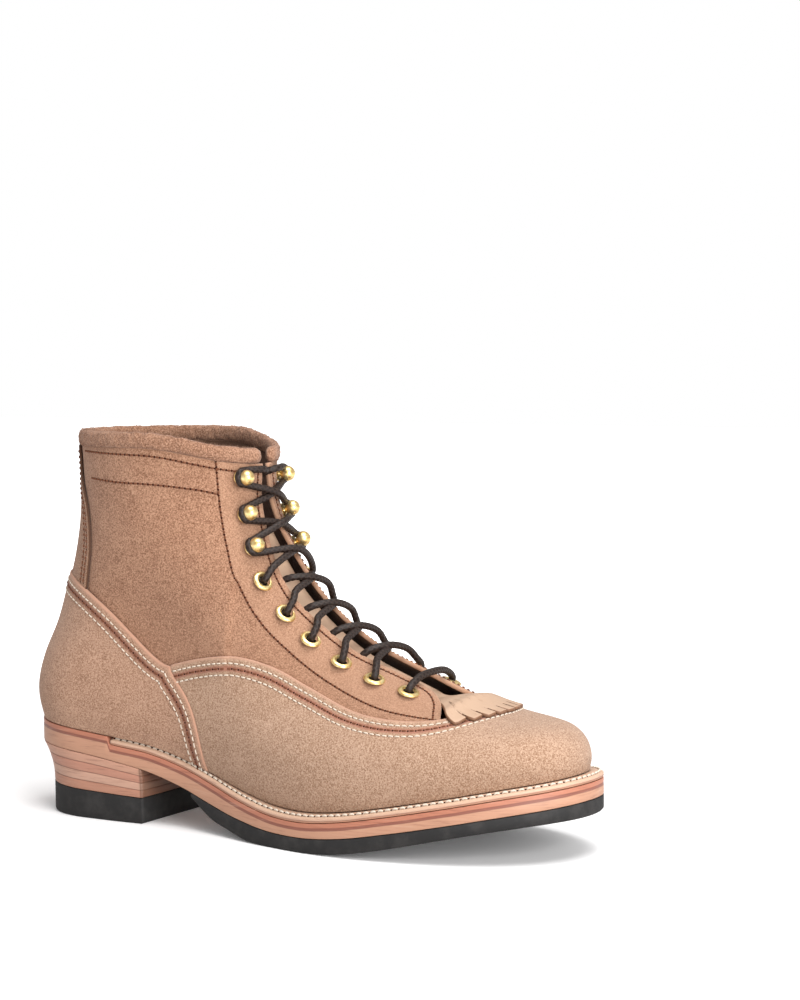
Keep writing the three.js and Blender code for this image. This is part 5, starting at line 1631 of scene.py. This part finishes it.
def stack_rings(name, rings, tops, material, node, extra=None):
    """Solid from a list of closed rings, from the top down, closed across by cells between the two halves."""
    every = np.stack(rings)
    levels, size = every.shape[:2]
    walls = grid_cells(levels, size, wrap=True).reshape(-1, 4)
    first = np.arange(size // 2 - 1)
    lid = np.stack([size - 1 - first, size - 2 - first, first + 1, first], -1)
    floor_lid = lid[:, ::-1] + (levels - 1) * size
    stored = {"depth_mm": tops[None, :] - every[..., 2], **(extra or {})}
    make_piece(name, every, [walls, lid, floor_lid], material, [node], stored)


def sole_top(x):
    """Top of the welt."""
    return feather_height(x) - SEAM_GAP


def welt_under(x):
    """Underside of the welt."""
    return sole_top(x) - WELT


def midsole_under(x):
    """Underside of the midsole."""
    return welt_under(x) - GAP - MIDSOLE * midsole_share(x / LAST_LENGTH)


def ring_at(inset, height, drop=0.0, start=None):
    """Footprint ring laid at a height function less a drop."""
    ring = footprint(inset, start)
    ring[:, 2] = height(ring[:, 0]) - drop
    return ring


CORNER = [(0.45, 0.0), (0.2, 0.06), (0.06, 0.2), (0.0, 0.45)]  # inset and drop of a rounded corner
LID_INSET = 3.0  # of the innermost ring, inside which a solid is closed flat
print("outline ready")

# %% Midsole and welt


def midsole_top(x):
    """Level with the welt's top behind its ends, under the welt ahead of them."""
    return mix(sole_top(x), welt_under(x) - GAP, ease((x - (WELT_START - 0.5)) / 0.6))


midsole_levels = [(LID_INSET, midsole_top, 0.0)] + [(inset, midsole_top, drop) for inset, drop in CORNER]
midsole_levels += [(0.12, midsole_top, 3.0), (0.0, midsole_top, 3.4)]
midsole_levels += [(inset, midsole_under, -drop) for inset, drop in reversed(CORNER)]
midsole_levels += [(LID_INSET, midsole_under, 0.0)]
midsole_rings = [ring_at(*level) for level in midsole_levels]
rim_x = midsole_rings[3][:, 0]
midsole_tops = np.where(rim_x < WELT_START, sole_top(rim_x), welt_under(rim_x) - GAP)
stack_rings(
    "midsole_leather_edge", midsole_rings, midsole_tops, midsole_leather, "midsole"
)


BEVEL_WIDTH = 3.4  # the welt's top slopes down over this to its outer edge
BEVEL_DROP = 1.3
WELT_COLUMNS = 260
WELT_BACK = WELT_START + 1.5


def make_welt():
    """Strip from one cut end behind the waist round the toe to the other, its section a rounded strip."""
    ends = []
    for side in (-1.0, 1.0):
        xs = outline(DENSE, side, lambda x: 0 * x)[..., 0]
        ends.append(float(np.interp(WELT_BACK, xs, DENSE)))
    section = [(None, 0.0), (4.5, 0.0), (BEVEL_WIDTH + 0.2, 0.02), (BEVEL_WIDTH - 0.2, 0.1)]
    section += [(inset, BEVEL_DROP + drop) for inset, drop in CORNER]
    section += [(0.0, WELT - 0.45), (0.2, WELT - 0.06), (0.45, WELT), (4.5, WELT), (None, WELT)]
    columns = []
    tops = []
    for inset, drop in section:
        def reach(x):
            return 0 * x - WELT_TUCK if inset is None else sole_reach(x) - inset

        outer = outline(np.linspace(ends[0], 1, WELT_COLUMNS), -1.0, reach)
        inner = outline(np.linspace(1, ends[1], WELT_COLUMNS), 1.0, reach)
        line = np.concatenate([outer, inner[1:]])
        line[:, 2] = sole_top(line[:, 0]) - drop
        columns.append(line)
        tops.append(np.full(len(line), 1.0 if drop <= BEVEL_DROP else 0.0))
    every = np.stack(columns, 1)
    stored = {
        "depth_mm": np.broadcast_to([drop for _, drop in section], every.shape[:2]),
        "top": np.stack(tops, 1),
    }
    faces = tube_faces(*every.shape[:2])
    make_piece("welt_strip", every, faces, welt_leather, ["welt"], stored)
    return ends


welt_ends = make_welt()

WELT_STITCH_INSET = 1.9
WELT_STITCH_PITCH = 3.7
WELT_THREAD = 0.55
WELT_HOLE = 0.62
STITCH_GAP = 0.12  # share of the pitch without thread at each end
welt_halves = []
for side, start in zip((-1.0, 1.0), welt_ends):
    line = outline(np.linspace(start + 0.004, 1.0, 700), side, lambda x: sole_reach(x) - WELT_STITCH_INSET)
    line[:, 2] = sole_top(line[:, 0]) - BEVEL_DROP * (1 - WELT_STITCH_INSET / BEVEL_WIDTH) + 0.05
    welt_halves.append(line)
welt_line = divide(np.concatenate([welt_halves[0], welt_halves[1][::-1][1:]]), WELT_STITCH_PITCH)
run = unit(np.gradient(welt_line, axis=0))
welt_outward = np.cross(run, [0.0, 0.0, 1.0])
welt_normals = unit(np.cross(welt_outward, run) + welt_outward * BEVEL_DROP / BEVEL_WIDTH)
starts, ends = (mix(welt_line[:-1], welt_line[1:], share) for share in (STITCH_GAP, 1 - STITCH_GAP))
welt_threads = threads(starts, ends, welt_normals[:-1], WELT_THREAD)
make_threads("welt_stitches", welt_threads, white_thread)
welt_radii = np.full(len(welt_line), WELT_HOLE)
make_holes("welt_needle_holes", [(welt_line, welt_normals, welt_radii)])

# %% Insole, half sole and heel
INSOLE_CLEAR = 0.72


def insole_ring(inset, height):
    """Ring inside the wall of the upper."""
    halves = []
    for side in (-1.0, 1.0):
        half = outline(np.linspace(0, 1, 200), side, lambda x: 0 * x - LEATHER - INSOLE_CLEAR - inset)
        half[[0, -1], 1] += side * SLIVER
        halves.append(half)
    ring = np.concatenate([halves[0], halves[1][::-1]])
    ring[:, 2] = feather_height(ring[:, 0]) + height
    return ring


insole_levels = ((1.5, INSOLE), (0.3, INSOLE), (0.0, INSOLE - 0.3), (0.0, 0.05))
insole_rings = [insole_ring(*level) for level in insole_levels]
stack_rings("insole_leather", insole_rings, insole_rings[0][:, 2], smooth_insole, "insole")

RUBBER_BEVEL = 0.9


def half_sole_top(x):
    """Top of the rubber, under the midsole."""
    return midsole_under(x) - GAP


def rubber_under(x):
    """Underside of the rubber: skived behind, flat under the ball, rising to the toe."""
    return np.minimum(TOE_SPRING * np.maximum(0, underside(x / LAST_LENGTH)), half_sole_top(x) - 1)


def bevel_top(x):
    """Upper line of the rubber's bevel."""
    return np.minimum(rubber_under(x) + RUBBER_BEVEL, half_sole_top(x) - 0.5)


half_sole_levels = [
    (LID_INSET, half_sole_top, 0.0),
    (0.25, half_sole_top, 0.0),
    (0.0, half_sole_top, 0.2),
    (0.0, bevel_top, 0.0),
    (0.2, lambda x: mix(rubber_under(x), bevel_top(x), 0.8), 0.0),
    (RUBBER_BEVEL, rubber_under, 0.0),
    (RUBBER_BEVEL + 2, rubber_under, 0.0),
]
half_sole_rings = [ring_at(*level, HALF_SOLE_START) for level in half_sole_levels]
half_sole_tops = half_sole_rings[0][:, 2]
stack_rings("half_sole_rubber", half_sole_rings, half_sole_tops, black_rubber, "half_sole")

HEEL_BACK = float(outline(np.array([0.0]), -1.0, sole_reach)[0, 0])


def lift_top(x):
    """Top of the rubber top piece, thicker at the back."""
    return LIFT_HEIGHT + LIFT_RISE * (1 - x / HEEL_BREAST)


def heel_ring(inset, share, height):
    """Footprint ring behind the breast, drawn in at the back and sides as it goes down."""
    ring = footprint(inset, None, HEEL_BREAST)
    ahead = (ring[:, 0] - HEEL_BACK) / (HEEL_BREAST - HEEL_BACK)
    ring[:, 0] += HEEL_UNDERCUT * share * (1 - ahead)
    ring[:, 1] *= 1 - SIDE_TAPER * share
    ring[:, 2] = height(ring[:, 0])
    return ring


def stack_height(w):
    """Height function at a share of the way down the stack."""
    return lambda x: mix(midsole_under(x) - GAP, lift_top(x) + GAP, w)


HEEL_LAYERS = 4
LAYER_GROOVE = 0.16
GROOVE_SPAN = 0.018
STACK_DEPTH = 19.6  # to which the colours of the layers are given
BREAST_EDGE = (HEEL_BREAST - 1.4, HEEL_BREAST - 0.6)
heel_levels = [(LID_INSET, 0.0)]
for layer in range(HEEL_LAYERS):
    low, high = layer / HEEL_LAYERS, (layer + 1) / HEEL_LAYERS
    heel_levels += [(LAYER_GROOVE, low), (0.0, low + GROOVE_SPAN)]
    heel_levels += [(0.0, mix(low, high, 0.35)), (0.0, mix(low, high, 0.7))]
    heel_levels += [(0.0, high - GROOVE_SPAN), (LAYER_GROOVE, high)]
heel_levels.append((LID_INSET, 1.0))
heel_rings = [heel_ring(inset, 1 - (1 - w) ** 2.2, stack_height(w)) for inset, w in heel_levels]
stack_span = np.array([w for _, w in heel_levels])
heel_depth = np.broadcast_to(stack_span[:, None] * STACK_DEPTH, (len(heel_levels), len(heel_rings[0])))
# painted shade on the heel's breast: 0 behind BREAST_EDGE, 1 on the breast's face
breast_shade = np.stack([between(ring[:, 0], BREAST_EDGE) for ring in heel_rings])
stack_rings(
    "heel_stack_leather", heel_rings, heel_rings[0][:, 2], stack_leather, "heel_stack",
    {"depth_mm": heel_depth, "breast": breast_shade},
)

lift_levels = [(LID_INSET, 0.0), (0.3, 0.0), (0.0, 0.3)]
lift_rings = [heel_ring(inset, 1.0, lift_top) - [0, 0, drop] for inset, drop in lift_levels]
for inset, height in ((0.0, 1.0), (0.3, 0.3), (0.9, 0.0), (LID_INSET, 0.0)):
    lift_rings.append(heel_ring(inset, 1.0, lambda x: 0 * x + height))
stack_rings("heel_lift_rubber", lift_rings, lift_rings[0][:, 2], black_rubber, "heel_lift")
print("heel back at", round(HEEL_BACK, 1))

# %% [markdown]
# ## Eyelets and hooks
#
# The eyelets are rolled brass rings, each hole closed by a brass disc with painted shade, and the hooks are
# brass balls on a ring base. Each profile is turned about its axis and stood on the upper's surface.

# %% Eyelets and hooks
TURNS = 40


def turned(name, profile, place, hand, hole_shade=0.0):
    """Profile of radius and height turned about the normal at a place of the upper, with painted shade inside
    a radius.
    """
    along, across = place[0], hand * place[1] * THROAT_GAP
    base, normal = on_upper(along, across)
    first = unit(np.cross(normal, np.array([0.0, 0.0, 1.0])))
    second = np.cross(normal, first)
    turns = np.linspace(0, 2 * pi, TURNS, endpoint=False)
    ring = np.cos(turns)[:, None] * first + np.sin(turns)[:, None] * second
    radii = np.array([row[0] for row in profile])
    heights = np.array([row[1] for row in profile]) + LAYER_GAP
    every = base + heights[:, None, None] * normal + radii[:, None, None] * ring[None]
    dark = np.repeat((radii < hole_shade).astype(float), TURNS)
    faces = tube_faces(len(profile), TURNS)
    make_piece(f"{name}_brass", every, faces, brass, [name], {"hole_shade": dark})


def arc_rows(radius, height, reach, rise, start, end, count):
    """Rows of a profile along an elliptic arc about (radius, height), angles in degrees."""
    angles = [radians(a) for a in np.linspace(start, end, count)]
    return [(radius + reach * cos(a), height + rise * sin(a)) for a in angles]


EYELET_HEIGHT = 1.1
# painted shade: inside this radius the disc over the eyelet's hole is coloured nearly black
EYELET_SHADE_RADIUS = 2.6  # within this radius the brass is in the dark of the hole
eyelet_profile = [(0.05, 0.35), (EYELET_HOLE - 0.15, 0.35)]
eyelet_profile += arc_rows(EYELET_HOLE + 1.0, 0.15, 1.0, EYELET_HEIGHT, 180, 90, 6)
eyelet_profile += arc_rows(EYELET_HOLE + 1.0, 0.1, EYELET_RADIUS - EYELET_HOLE - 1.0, EYELET_HEIGHT, 84, 0, 8)
eyelet_profile += [(EYELET_RADIUS, 0.0), (EYELET_RADIUS - 0.2, -0.05), (0.05, -0.05)]
BALL_CENTRE = HOOK_HEIGHT - HOOK_HEAD + 0.1
hook_profile = [(0.05, -0.05), (3.55, -0.05), (3.7, 0.2)]
hook_profile += arc_rows(3.0, 0.35, 0.7, 0.55, 0, 90, 5)
hook_profile += [(2.2, 0.75), (HOOK_STEM, 1.1), (HOOK_STEM, 2.6)]
hook_profile += arc_rows(0.0, BALL_CENTRE, HOOK_HEAD - 0.05, HOOK_HEAD - 0.15, -52, 89, 18)
for label, hand in (("outer", -1.0), ("inner", 1.0)):
    for k, place in enumerate(EYELETS, 1):
        turned(f"eyelet_{label}_{k}", eyelet_profile, place, hand, EYELET_SHADE_RADIUS)
    for k, place in enumerate(HOOKS, 1):
        turned(f"hook_{label}_{k}", hook_profile, place, hand)
print("eyelets", 2 * len(EYELETS), "hooks", 2 * len(HOOKS))

# %% [markdown]
# ## Laces
#
# Waxed braided cord comes up out of each eyelet, lies over its own facing, crosses the throat and dives
# under the other facing to the next eyelet. Above the eyelets it runs round the hooks and ends tucked in the
# throat. The braid is in the mesh: two turns of strands cross and swell the radius.

# %% Laces
LACE_SEEN = 1.68
LACE_LIFT = LACE_RADIUS + GAP + 0.35
MOUTH_LIFT = LACE_RADIUS * 0.5 + GAP
HIDDEN_LIFT = -LEATHER - LACE_RADIUS - 0.4
LACE_PITCH = 0.4
LACE_SIDES = 28
STRANDS = 4
BRAID_LENGTH = 5.2


def spot(along, across, lift):
    """One point over the upper."""
    return on_upper(along, across, lift)[0]


def lace(name, paths, nodes):
    """Braided cords along smooth paths: the radius is swelled by the two turns of crossing strands."""
    every, blocks, raised, count, length = [], [], [], 0, 0.0
    for path in paths:
        path = np.array(path)
        steps = np.sqrt(np.linalg.norm(np.diff(path, axis=0), axis=1))
        times = np.concatenate([[0.0], np.cumsum(steps)])
        fine = np.linspace(0, times[-1], 60 * len(path))
        line = np.stack([curve(list(zip(times, path[:, k])))(fine) for k in range(3)], -1)
        line = divide(line, LACE_PITCH)
        runs = unit(np.gradient(line, axis=0))
        sides = [unit(np.cross(runs[0], [0.3, 0.5, 0.8]))]
        for direction in runs[1:]:
            sides.append(unit(sides[-1] - direction * np.dot(sides[-1], direction)))
        first = np.array(sides)
        second = np.cross(runs, first)
        arcs = arc_lengths(line)
        length += arcs[-1]
        turns = np.linspace(0, 2 * pi, LACE_SIDES, endpoint=False)
        half_phase = pi * arcs[:, None] / BRAID_LENGTH
        strand = np.maximum(*(np.cos(STRANDS * (turns + way * half_phase)) for way in (1, -1)))
        radius = LACE_SEEN * (0.97 + 0.07 * strand)
        taper = np.minimum(1, np.minimum(arcs, arcs[-1] - arcs) / 1.2 + 0.15)[:, None]
        ring = first[:, None] * np.cos(turns)[None, :, None] + second[:, None] * np.sin(turns)[None, :, None]
        tube = line[:, None] + ring * (radius * taper)[..., None]
        every.append(tube.reshape(-1, 3))
        raised.append(np.clip(strand, 0, 1).ravel())
        blocks += [block + count for block in tube_faces(len(line), LACE_SIDES)]
        count += len(line) * LACE_SIDES
    blocks = blocks[::2] + blocks[1::2]
    stored = {"raised": np.concatenate(raised)}
    make_piece(name, np.concatenate(every), blocks, cord_finish, nodes, stored)
    print(name, round(float(length)), "mm of lace")


def mouth(place, side):
    """Points of a lace that comes up through an eyelet."""
    along, out = place
    across = side * out * THROAT_GAP
    return [spot(along, across, lift) for lift in (-2.5, GAP, MOUTH_LIFT + LACE_RADIUS * 0.6)]


def crossing(lower, upper, side, on_top):
    """Lace from an eyelet over its facing and the throat, then under the other facing to the next eyelet."""
    across = side * lower[1] * THROAT_GAP
    half = float(throat_half(mix(lower[0], upper[0], 0.7)))
    rise = LACE_RADIUS if on_top else 0.0

    def at(t, where, lift):
        return spot(mix(lower[0], upper[0], t), where, lift)

    return mouth(lower, side) + [
        at(0.14, across - side * 3.4, LACE_LIFT + 1.2),
        at(0.32, side * mix(half, lower[1] * THROAT_GAP, 0.1), LACE_LIFT + 0.4 + rise),
        at(0.52, 0.0, LACE_LIFT + rise - 0.3),
        at(0.74, -side * (half - LACE_RADIUS - 1.2), LACE_LIFT * 0.4 + rise * 0.3),
        at(0.86, -side * (half + 0.2), HIDDEN_LIFT * 0.75),
        at(0.95, -side * (half + 4.5), HIDDEN_LIFT),
        at(1.0, -side * (upper[1] * THROAT_GAP - 2.5), HIDDEN_LIFT),
    ]


bar_along = EYELETS[-1][0] + 0.004
bar = mouth(EYELETS[-1], -1.0) + [spot(bar_along, across, LACE_LIFT + 1.2) for across in (-13, 0, 13)]
bar += mouth(EYELETS[-1], 1.0)[::-1]
lace("bottom_bar_cord", [bar], ["lace_bar"])
for k in range(len(EYELETS) - 2):
    paths = [crossing(EYELETS[k + 1], EYELETS[k], side, side > 0) for side in (1.0, -1.0)]
    lace(f"crossing_{k + 1}_cord", paths, [f"lace_crossing_{k + 1}"])


def round_hook(place, side):
    """Points round a hook's stem, in by its lower side and out by its upper side."""
    along, across = place[0], side * place[1] * THROAT_GAP
    base, normal = on_upper(along, across)
    upward = spot(along + 0.02, across, 0.0) - base
    upward = unit(upward - normal * np.dot(upward, normal))
    inward = np.cross(upward, normal)
    inward = inward * (-1 if inward[1] * side > 0 else 1)
    radius = HOOK_STEM + LACE_RADIUS + 0.1
    lift = 1 + GAP + LACE_RADIUS + 0.2
    angles = [radians(a) for a in (-75, -130, -180, -230, -285)]
    return [base + normal * lift + inward * radius * cos(a) + upward * radius * sin(a) for a in angles]


TUCKED_END = [  # along, across to the last hook's side, lift
    (0.992, 8.0, LACE_LIFT + 0.8),
    (0.99, 3.6, LACE_LIFT - 0.4),
    (0.984, 1.4, -LEATHER * 0.6),
    (0.978, 1.6, -LEATHER - LACE_RADIUS * 1.3),
]


def hook_run(side):
    """One lace from its top eyelet up the hooks, changing sides at each, to its tucked end."""
    top = EYELETS[0]
    on_top = LACE_RADIUS * 1.2 if side > 0 else 0.0
    path = mouth(top, side)
    path.append(spot(mix(top[0], HOOKS[0][0], 0.2), side * (top[1] * THROAT_GAP - 4), LACE_LIFT + 1.2))
    here, hand = top, side
    for hook in HOOKS:
        path.append(spot(mix(here[0], hook[0], 0.5), 0.0, LACE_LIFT + 0.7 + on_top))
        hand = -hand
        path += round_hook(hook, hand)
        here = hook
    return path + [spot(along, hand * across, lift) for along, across, lift in TUCKED_END]


lace("hook_cords", [hook_run(1.0), hook_run(-1.0)], ["lace_hooks"])
print("laces done")
